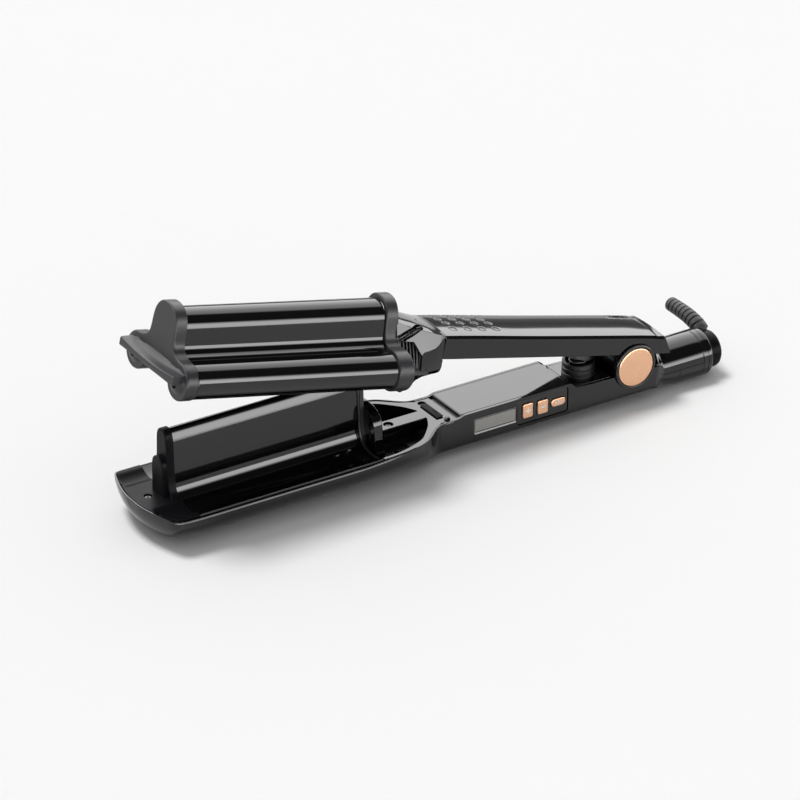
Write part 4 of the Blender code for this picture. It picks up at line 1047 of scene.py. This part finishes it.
def lower_rear_cap():
    """Thin fin at the back end of the ridge."""
    fin = [(y + 0.15, z + 0.05) for y, z in RIDGE if y < 22.0] + [(22.2, 11.0), (19.0, 9.4)]
    rear = Part("skin_lower_rear_cap", "satin_black_cap", LOWER,
                extrude(both(fin), "x", -158.6, -156.8, 0.15, 0.3))
    step = [p for p in RIDGE_END if p[1] > 19] + [(6.4, 12.0)]
    rear.add(extrude(both(step), "x", -157.6, -155.3, 0.0, 0.5, 4))
    rear.bevel(0.2, 2, 45)
    rear.done("lower_rear_cap", sharp=38)


def rear_bracket():
    """Arch behind the fin, under the upper arm's collar."""
    arch = Part("skin_rear_bracket", "gloss_black_shell", LOWER,
                extrude(both(sym_spline(ARCH, 5)), "x", -155.6, -150.5, 0.2, 0.7, 4))
    arch.cut(extrude(both(ARCH_HOLLOW), "x", -153.4, -149.0))
    arch.add(box(-153.6, -151.2, -12.9, -9.6, 25.0, 28.4, 0.2))
    arch.add(box(-153.6, -151.6, -13.9, -11.2, 18.4, 21.6, 0.2))
    arch.bevel(0.2, 2, 45)
    arch.done(sharp=38)


# ---------------------------------------------------------------- lower arm: neck and well
CENTRE_SCREW, SIDE_SCREW = (-138, 0, 0), (-112.2, 9.6, 0)
# half plans (x, y)
FRAME_OPENING = [(-161.0, 27.9), (-148.6, 27.3), (-138.6, 24.6), (-131.6, 21.4),
                 (-126.6, 16.6), (-121.8, 11.0), (-118.4, 5.0)]
WELL = [(-150.4, 20.5), (-139.0, 20.0), (-131.0, 17.4), (-126.0, 13.6), (-121.0, 10.2),
        (-117.0, 9.0)]


def neck_frame():
    """Flat frame round the open well, with a bar down its middle."""
    edge = [(-158.6, 29.45)] + [p for p in rim_points(0.95, -116.0) if p[0] > -158.4]
    edge += [(-115.0, 12.95), (-106.2, 12.7)]
    part = Part("skin_neck_frame", "gloss_black_shell", LOWER,
                extrude(plan(edge), "z", 15.5, 16.8, 0, 0.25))
    part.cut(extrude(plan(spline(FRAME_OPENING, 5)), "z", 13.0, 19.0))
    part.add(extrude(rect(-150.1, -117.0, -4, 4), "z", 14.9, 16.78, 0, 0.3))
    part.add(box(-149.8, -119.5, -5.0, 5.0, 11.2, 14.6, 0.2))
    for k in range(4):
        for side in (-1, 1):
            part.cut(box(-150.5, -120.5, *span(side, 4.55, 6.0), 11.5 + 0.8 * k, 11.9 + 0.8 * k))
    part.cut(cylinder("z", 15.4, 18, 2.6, CENTRE_SCREW, 32))
    part.cut(cylinder("z", 15.4, 18, 2.2, SIDE_SCREW, 28))
    for k in range(9):
        y = -7.0 + 1.6 * k
        part.cut(box(-150, -149.0, y, y + 0.6, 16.2, 18))
    part.bevel(0.2, 2, 40)
    part.done("lower_neck_frame", sharp=36)


def neck_screws():
    """Cross-head screws in the frame."""
    for tag, center, radius in (("centre", CENTRE_SCREW, 1.9), ("side", SIDE_SCREW, 1.5)):
        profile = [(15.2, radius), (15.7, radius), (15.9, radius - 0.3),
                   (15.95, 0.5 * radius), (15.9, 0.1)]
        screw = Part("neck_screw_" + tag, "screw_black_zinc", LOWER,
                     turn(profile, "z", center, 32))
        for angle in (0.4, 0.4 + pi / 2):
            dx, dy = cos(angle), sin(angle)
            reach, half = radius * 0.62, 0.18
            slot = [(center[0] + along * reach * dx - across * half * dy,
                     center[1] + along * reach * dy + across * half * dx)
                    for along, across in ((1, 1), (-1, 1), (-1, -1), (1, -1))]
            screw.cut(extrude(slot, "z", 15.6, 16.4))
        screw.done(slot="steel")


def well_tray():
    """Curved tray under the neck with a round opening of ring fins on each side."""
    tray = Part("skin_well_tray", "inner_black", LOWER,
                extrude(plan(spline(WELL, 4)), "z", 5.4, 8.6, 0, 0.4))
    for side in (1, -1):
        center = (-141.0, side * 12.6, 0)
        tray.cut(turn([(6.6, 7.6), (10.0, 7.9)], "z", center, 56))
        for radius in (1.6, 3.2, 4.8, 6.4):
            fin = rect(6.4, 7.9, radius, radius + 0.55)
            tray.add(turn(fin, "z", center, 56, ring=True))
    tray.add(cylinder("z", 6.2, 14.4, 3.4, CENTRE_SCREW, 32))
    tray.done("lower_well_tray")


def vent_strip():
    """Ribbed rubber strip across the neck."""
    ribs, start, width = 20, -8.0, 15.6
    outline = [(start, 17.1)]
    for i in range(ribs):
        y = start + width * i / ribs
        outline += [(y + 0.1, 17.15), (y + 0.2, 17.62), (y + 0.5, 17.7), (y + 0.66, 17.3)]
    outline.append((7.6, 17.1))
    Part("skin_vent_strip", "rubber_black", LOWER,
         extrude(outline, "x", -114.6, -110.9)).done("neck_vent_strip", sharp=25)


def latch_hook():
    outline = [(-112.0, 16.7), (-109.6, 16.7), (-109.6, 17.8), (-110.1, 18.3), (-110.8, 18.5),
               (-111.5, 18.3), (-112.0, 17.8)]
    Part("skin_latch_hook", "panel_black", LOWER,
         extrude(outline, "y", -12.5, -10.4, 0.2, 0.2)).done("neck_latch_hook")


# ---------------------------------------------------------------- lower arm: handle top, spring
# side outline (x, z)
COVER = [(-105.6, 15.0), (-105.6, 16.2), (-104.3, 16.2), (-104.3, 17.0), (-103.7, 18.0),
         (-103.4, 18.2), (-40.2, 18.2), (-39.7, 18.05), (-35.2, 14.85), (-34.6, 14.7),
         (-12.9, 14.2), (-12.9, 12.6), (-35.4, 12.8), (-40.6, 16.4), (-101.6, 16.4)]
SPRING = (SPRING_X, 0, 0)


def handle_cover():
    """Top cover of the lower handle, with the raised spring seat."""
    cover = Part("skin_handle_cover", "gloss_black_shell", LOWER,
                 extrude(COVER, "y", -12.7, 12.7, 0.15, 0.15))
    cover.cut(cylinder("z", 13.2, 16.0, 7.6, SPRING, 48))
    seat = [(13.0, 7.2), (14.6, 7.2), (14.75, 7.05), (14.75, 6.6), (13.3, 6.6)]
    cover.add(turn(seat, "z", SPRING, 48))
    cover.bevel(0.15, 2, 40)
    cover.done("lower_handle_cover", sharp=30)


def opening_spring():
    radius, wire, low, high = 4.6, 0.6, 16.3, 25.4
    turns, steps, sides = 4.5, 36, 12
    flat = 0.75  # turns wound nearly flat at each end
    sections = []
    for k in range(int(turns * steps) + 1):
        done = k / steps
        if done < flat:
            rise = 0.12 * done / flat
        elif done > turns - flat:
            rise = 0.88 + 0.12 * (done - (turns - flat)) / flat
        else:
            rise = 0.12 + 0.76 * (done - flat) / (turns - 2 * flat)
        z = low + (high - low) * rise
        t = 2 * pi * done
        ring = []
        for i in range(sides):
            a = 2 * pi * i / sides
            r = radius + wire * cos(a)
            ring.append((SPRING_X + r * cos(t), r * sin(t), z + wire * sin(a)))
        sections.append(ring)
    spring = Part("skin_opening_spring", "blued_spring_steel", LOWER,
                  loft(sections)).done("opening_spring")
    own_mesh(spring)


def spring_boots():
    """Sleeves round the spring, one on each arm."""
    lower = [(14.2, 7.0), (14.2, 8.5), (15.6, 8.5), (15.9, 8.2), (16.4, 8.2), (16.7, 8.45),
             (18.4, 8.45), (18.7, 8.1), (19.2, 8.1), (19.5, 8.35), (21.3, 8.35), (21.6, 8.1),
             (21.6, 7.0)]
    upper = [(17.8, 5.5), (17.8, 6.2), (18.0, 6.4), (25.6, 6.4), (25.6, 5.5)]
    for tag, body, profile in (("lower", LOWER, lower), ("upper", UPPER, upper)):
        Part("spring_boot_" + tag, "inner_black", body,
             turn(profile, "z", SPRING, ring=True)).done()


# ---------------------------------------------------------------- controls and hinge ends
# x, z, half length, half height, corner radius
BUTTONS = {"plus": (-64.8, 10.25, 3.0, 3.95, 1.1),
           "minus": (-55.8, 9.9, 3.1, 3.8, 1.1),
           "power": (-46.5, 10.0, 4.3, 2.1, 2.05)}


def control_panel():
    panel = Part("skin_control_panel", "panel_black", LOWER,
                 extrude(round_rect(*PANEL, 14.95, 6.6, 1.3), "y", -14.05, -12.95, 0.2, 0))
    for x, z, half_x, half_z, radius in BUTTONS.values():
        hole = round_rect(x, z, half_x + 0.3, half_z + 0.3, radius + 0.2, 8)
        panel.cut(extrude(hole, "y", -15, -12))
    panel.bevel(0.1, 2, 40)
    panel.done("control_panel", sharp=30)


def print_mark(outline):
    """Thin raised print on a key face."""
    return extrude(outline, "y", -15.0, -14.85, 0.04, 0)


def legend(name, body, geometry):
    return Part("legend_" + name, "legend_print", body, geometry)


def buttons():
    half_stroke = 0.42
    for name, (x, z, half_x, half_z, radius) in BUTTONS.items():
        body = name + "_key"
        Part("skin_key_" + name, "rose_gold_trim", body,
             extrude(round_rect(x, z, half_x, half_z, radius, 8), "y",
                     -14.95, -12.35, 0.45, 0.0, 5)).done("button_" + name, sharp=40)
        if name == "power":
            bar = print_mark(rect(x - 1.75, x - 1.25, z - 0.95, z + 0.95))
            ring = [(-15.0, 1.0), (-15.0, 0.62), (-14.85, 0.62), (-14.85, 1.0)]
            ring = turn(ring, "y", (x + 1.35, 0, z), 40, ring=True)
            slash = print_mark([(x - 0.55, z - 1.0), (x - 0.15, z - 1.0), (x + 0.3, z + 1.0),
                                (x - 0.1, z + 1.0)])
            for tag, geometry in (("i", bar), ("o", ring), ("slash", slash)):
                legend("power_" + tag, body, geometry).done(slot="white_plastic")
            continue
        mark = legend(name, body, print_mark(
            rect(x - 1.5, x + 1.5, z - half_stroke, z + half_stroke)))
        if name == "plus":
            mark.add(print_mark(rect(x - half_stroke, x + half_stroke, z - 1.5, z + 1.5)))
        mark.done(slot="white_plastic")


def display():
    Part("skin_lcd", "lcd_glass_grey", LOWER,
         extrude(round_rect(*LCD, 12.55, 3.8, 0.6), "y", -14.3, -13.4, 0.12, 0)
         ).done("lcd_window")
    # dark line round the viewing area
    outer, inner = round_rect(*LCD, 12.35, 3.6, 0.5), round_rect(*LCD, 12.0, 3.25, 0.4)
    n = len(outer)
    vertices = [(x, y, z) for y in (-14.33, -14.2) for loop in (outer, inner) for x, z in loop]
    faces = []
    for i in range(n):
        j = (i + 1) % n
        faces += [(i, j, n + j, n + i), (2 * n + j, 2 * n + i, 3 * n + i, 3 * n + j),
                  (i, 2 * n + i, 2 * n + j, j), (n + i, n + j, 3 * n + j, 3 * n + i)]
    Part("lcd_border", "panel_black", LOWER, (vertices, faces)).done()
    # painted highlight: a thin white strip under the window's lower edge stands in for the light
    # caught on that ledge
    strip = round_rect(LCD[0], 5.95, 12.3, 0.32, 0.2)
    Part("lcd_painted_highlight", "white_plastic", LOWER,
         extrude(strip, "y", -14.62, -13.6, 0.1, 0)).done()


def hinge_ends():
    """Bezel ring and domed cap on each end of the pin; profiles are (|y|, radius)."""
    bezel = [(14.75, 10.55), (14.75, 12.1), (15.5, 12.1), (15.75, 12.0), (15.95, 11.8),
             (16.05, 11.5), (16.05, 11.0), (15.95, 10.7), (15.7, 10.55)]
    cap = [(14.8, 10.4), (15.6, 10.4), (15.8, 10.33), (15.95, 10.15), (16.02, 9.85),
           (16.1, 9.0), (16.2, 7.5), (16.29, 5.5), (16.36, 3.0), (16.4, 0.8), (16.4, 0.05)]
    for tag, side in (("right", -1), ("left", 1)):
        profile = [(side * y, r) for y, r in bezel]
        Part("skin_hinge_bezel_" + tag, "panel_black", LOWER,
             turn(profile, "y", HINGE, 120, ring=True)).done("hinge_bezel_" + tag, sharp=30)
        profile = [(side * y, r) for y, r in cap]
        Part("skin_hinge_cap_" + tag, "rose_gold_trim", LOWER,
             turn(profile, "y", HINGE, 120)).done("hinge_cap_" + tag, sharp=40)


# ---------------------------------------------------------------- tail and cord
# x, half width, top z, z of the lower edge
TAIL = [(14.3, 14.1, 14.4, 13.1), (15.6, 13.95, 15.8, 12.4), (17.2, 13.45, 17.0, 9.7),
        (19.0, 12.8, 17.7, 6.5), (20.5, 12.45, 17.9, 5.85), (24.0, 12.4, 17.9, 5.8),
        (45.5, 12.4, 17.9, 5.8)]
# profiles (x, radius)
TAIL_RING = [(45.8, 6.4), (45.8, 12.2), (46.0, 12.4), (48.5, 12.4), (48.55, 12.2),
             (48.8, 12.2), (48.85, 12.4), (50.6, 12.4), (51.1, 12.25), (51.5, 11.9),
             (51.7, 11.4), (51.7, 6.4)]
DRUM = [(44.0, 0.05), (44.0, 8.2), (45.3, 8.2), (45.3, 6.0), (52.1, 6.0), (52.12, 9.6),
        (52.3, 9.75), (54.0, 9.75), (54.05, 9.6), (54.25, 9.6), (54.3, 9.75), (57.2, 9.75),
        (57.9, 9.6), (58.6, 9.3), (59.2, 8.7), (59.7, 7.9), (59.95, 6.8), (60.0, 5.5),
        (60.0, 0.05)]
# centre line (y, z) of the strain relief
RELIEF = [(3.6, 10.4), (6.1, 13.4), (9.2, 15.1), (13.5, 16.2), (18.5, 16.9),
          (24.5, CORD_Z), (33.0, CORD_Z)]


def tail_cover():
    """Half-round shell over the tail, squarer at its front end."""
    sections = []
    for x in [14.3 + 0.4 * i for i in range(17)] + [21.5, 24.0, 30.0, 36.0, 41.0, 45.2, 45.5]:
        half_width, top, edge = station(TAIL, x)
        power = 0.55 + 0.45 * clamp((x - 15.4) / 4.6)
        rings = []
        for inset in (0.2 if x in (14.3, 45.5) else 0.0, 1.6):
            ring = []
            for i in range(33):
                c, s = cos(pi * i / 32), sin(pi * i / 32)
                ring.append((x, (half_width - inset) * copysign(abs(c) ** power, c),
                             edge + (top - inset - edge) * abs(s) ** power))
            rings.append(ring)
        sections.append(rings[0] + rings[1][::-1])
    Part("skin_tail_cover", "gloss_black_shell", LOWER,
         loft(sections)).done("tail_cover", sharp=40)


def tail_ring():
    Part("skin_tail_ring", "gloss_black_shell", LOWER,
         turn(TAIL_RING, "x", (0, 0, TAIL_Z), 120, ring=True)).done("tail_ring", sharp=30)


def swivel_drum():
    drum = Part("skin_swivel_drum", "satin_black_lower", SWIVEL,
                turn(DRUM, "x", (0, 0, TAIL_Z), 120))
    # hole for the strain relief, straight out from the swivel axis
    dy, dz = RELIEF[0][0], RELIEF[0][1] - TAIL_Z
    length = hypot(dy, dz)
    hole = [(dy / length * k, TAIL_Z + dz / length * k) for k in (5.4, 12.5)]
    drum.cut(sweep(hole, [3.5, 3.5], 40))
    drum.bevel(0.15, 2, 40)
    drum.done("swivel_drum", sharp=30)


def relief_radius(run, total):
    """Radius of the strain relief at a length along it: root, cone, ribs, rounded end."""
    root, root_end, cone_end, ribs, end_round = 3.15, 3.4, 4.2, 9, 0.7
    base = 4.35 - 0.55 * (run / total)
    if run < root_end:
        return root
    if run < cone_end:
        return root + (base - root) * (run - root_end) / 0.8
    if run > total - end_round:
        u = (run - total + end_round) / end_round
        return base - 0.5 * (1 - sqrt(max(0.0, 1 - u ** 2)))
    u = ((run - cone_end) / (total - cone_end) * ribs) % 1.0
    if 0.74 < u < 0.99 and run < total - 2.4:
        return base - 0.85 * sin(pi * (u - 0.74) / 0.25) ** 0.6
    return base


def strain_relief():
    path = resample(spline(RELIEF, 10), 0.16)
    runs = [0.0]
    for a, b in zip(path[:-1], path[1:]):
        runs.append(runs[-1] + dist(a, b))
    radii = [relief_radius(run, runs[-1]) for run in runs]
    relief = Part("skin_strain_relief", "rubber_black", SWIVEL, sweep(path, radii, 40))
    # mouth for the cord; the second point only gives the direction
    relief.cut(sweep([path[-1], (36.0, CORD_Z)], [2.3, 2.3], 32))
    relief.done("strain_relief", sharp=40)


def power_cord():
    path = resample([(31.5, CORD_Z), (34.2, CORD_Z)], 0.3)
    Part("skin_power_cord", "rubber_black", SWIVEL,
         sweep(path, [1.95] * len(path), 28)).done("power_cord")


def tip_screws():
    """The CAD tip screws get the black screw finish."""
    for name in ("tip_screw_left", "tip_screw_right"):
        for slot in frame["nodes"][name].material_slots:
            slot.material = MATERIALS["screw_black_zinc"]


# ---------------------------------------------------------------- stage (metres)

def white_floor():
    """Large plane tilted to lie along the underside of the lower arm."""
    mesh = bpy.data.meshes.new("floor")
    corners = [(x, y, 0.0) for x, y in rect(-0.13 - 1.6, -0.13 + 1.6, 0.05 - 1.0, 0.05 + 1.0)]
    mesh.from_pydata(corners, [], [(0, 1, 2, 3)])
    floor = add_object("floor", mesh)
    pivot_x, pivot_z = -0.238, -0.00268
    floor.matrix_world = (Matrix.Translation((pivot_x, 0, pivot_z))
                          @ Matrix.Rotation(atan2(4.3, 283.0), 4, "Y")
                          @ Matrix.Translation((-pivot_x, 0, 0)))
    mat = bpy.data.materials.new("floor_white")
    mat.use_nodes = True
    tree = mat.node_tree
    bsdf = tree.nodes["Principled BSDF"]
    bsdf.inputs["Roughness"].default_value = 0.85
    bsdf.inputs["Specular IOR Level"].default_value = 0.15
    coords = add_node(tree, "TexCoord").outputs["Object"]
    noise = add_node(tree, "TexNoise", {"Vector": coords, "Scale": 3.0}).outputs["Fac"]
    color = mix_color(tree, noise, (0.86, 0.86, 0.86, 1), (0.875, 0.875, 0.875, 1))
    tree.links.new(color, bsdf.inputs["Base Color"])
    mesh.materials.append(mat)


# Reflected studio: angle about the x axis in degrees (0 = -y, 90 = up), brightness.
STUDIO = [(-180, 0.9), (-14, 0.9), (-9, 1.0), (-5, 8.5), (10, 8.5), (20, 1.2), (24, 0.06),
          (74, 0.06), (84, 2.6), (100, 3.0), (125, 4.0), (148, 4.1), (155, 3.9), (162.0, 3.4),
          (163.4, 0.35), (170, 0.2), (178, 0.30), (180, 0.9)]
STUDIO_GAIN = 9.0


def studio_world():
    """Long soft boxes for reflections, even white for light, plain white for the camera."""
    world = bpy.data.worlds.new("studio")
    bpy.context.scene.world = world
    world.use_nodes = True
    tree = world.node_tree
    tree.nodes.clear()
    output = add_node(tree, "OutputWorld")
    coords = add_node(tree, "TexCoord").outputs["Generated"]
    axes = add_node(tree, "SeparateXYZ", {0: coords}).outputs
    near = add_node(tree, "Math", {0: axes["Y"], 1: -1.0}, operation="MULTIPLY").outputs[0]
    angle = add_node(tree, "Math", {0: axes["Z"], 1: near}, operation="ARCTAN2").outputs[0]
    place = map_range(tree, angle, (-pi, pi), (0.0, 1.0))
    ramp = add_node(tree, "ValToRGB", {"Fac": place})
    stops = ramp.color_ramp.elements
    stops.remove(stops[-1])
    for i, (degrees, level) in enumerate(STUDIO):
        stop = stops.new((degrees + 180) / 360.0) if i else stops[0]
        stop.color = (*[level / STUDIO_GAIN] * 3, 1)

    def background(color, strength):
        inputs = {"Color": color, "Strength": strength}
        return add_node(tree, "Background", inputs).outputs[0]
    reflected = background(ramp.outputs["Color"], strength=STUDIO_GAIN)
    ambient = background((1, 1, 1, 1), strength=0.50)
    backdrop = background((0.95, 0.95, 0.95, 1), strength=1.0)
    rays = add_node(tree, "LightPath").outputs
    light = add_node(tree, "MixShader", {0: rays["Is Glossy Ray"], 1: ambient, 2: reflected})
    final = add_node(tree, "MixShader",
                     {0: rays["Is Camera Ray"], 1: light.outputs[0], 2: backdrop})
    tree.links.new(final.outputs[0], output.inputs["Surface"])


def soft_key():
    """One large soft sun from above, left out of reflections."""
    light = bpy.data.lights.new("soft_key", "SUN")
    light.energy = 1.94
    light.angle = radians(20)
    sun = add_object("soft_key", light)
    direction = Vector((0.22, -0.25, -1.0))
    sun.rotation_euler = direction.to_track_quat("-Z", "Y").to_euler()
    sun.visible_glossy = False


def camera():
    """Long lens from the front near side, looking down on the iron."""
    heading, elevation, roll = radians(32.687), radians(28.02), radians(0.282)
    target, distance = Vector((-0.1312, 0, 0.0284)), 2.214
    data = bpy.data.cameras.new("cam")
    data.sensor_width = 36.0
    data.lens = 202.464
    data.clip_start = 0.05
    data.clip_end = 20
    obj = add_object("cam", data)
    back = Vector((-sin(heading) * cos(elevation), -cos(heading) * cos(elevation),
                   sin(elevation)))
    level = Vector((cos(heading), -sin(heading), 0))
    right = level * cos(roll) + back.cross(level) * sin(roll)
    up = back.cross(right)
    place = target + back * distance
    obj.matrix_world = Matrix((*zip(right, up, back, place), (0, 0, 0, 1)))
    bpy.context.scene.camera = obj


def view_settings():
    view = bpy.context.scene.view_settings
    view.view_transform = "Standard"
    view.look = "None"
    view.exposure = 0.0
    view.gamma = 1.0


for build in (
        dress_cad_nodes,
        upper_barrel, upper_front_cap, upper_rear_collar, upper_neck, neck_core, upper_handle,
        lower_hull, housing_lips, lower_plate, tray_edges, lower_front_cap, nose_screw,
        lower_rear_cap, rear_bracket, neck_frame, neck_screws, well_tray, vent_strip,
        latch_hook, handle_cover, opening_spring, spring_boots,
        control_panel, buttons, display, hinge_ends,
        tail_cover, tail_ring, swivel_drum, strain_relief, power_cord, tip_screws,
        white_floor, studio_world, soft_key, camera, view_settings):
    build()
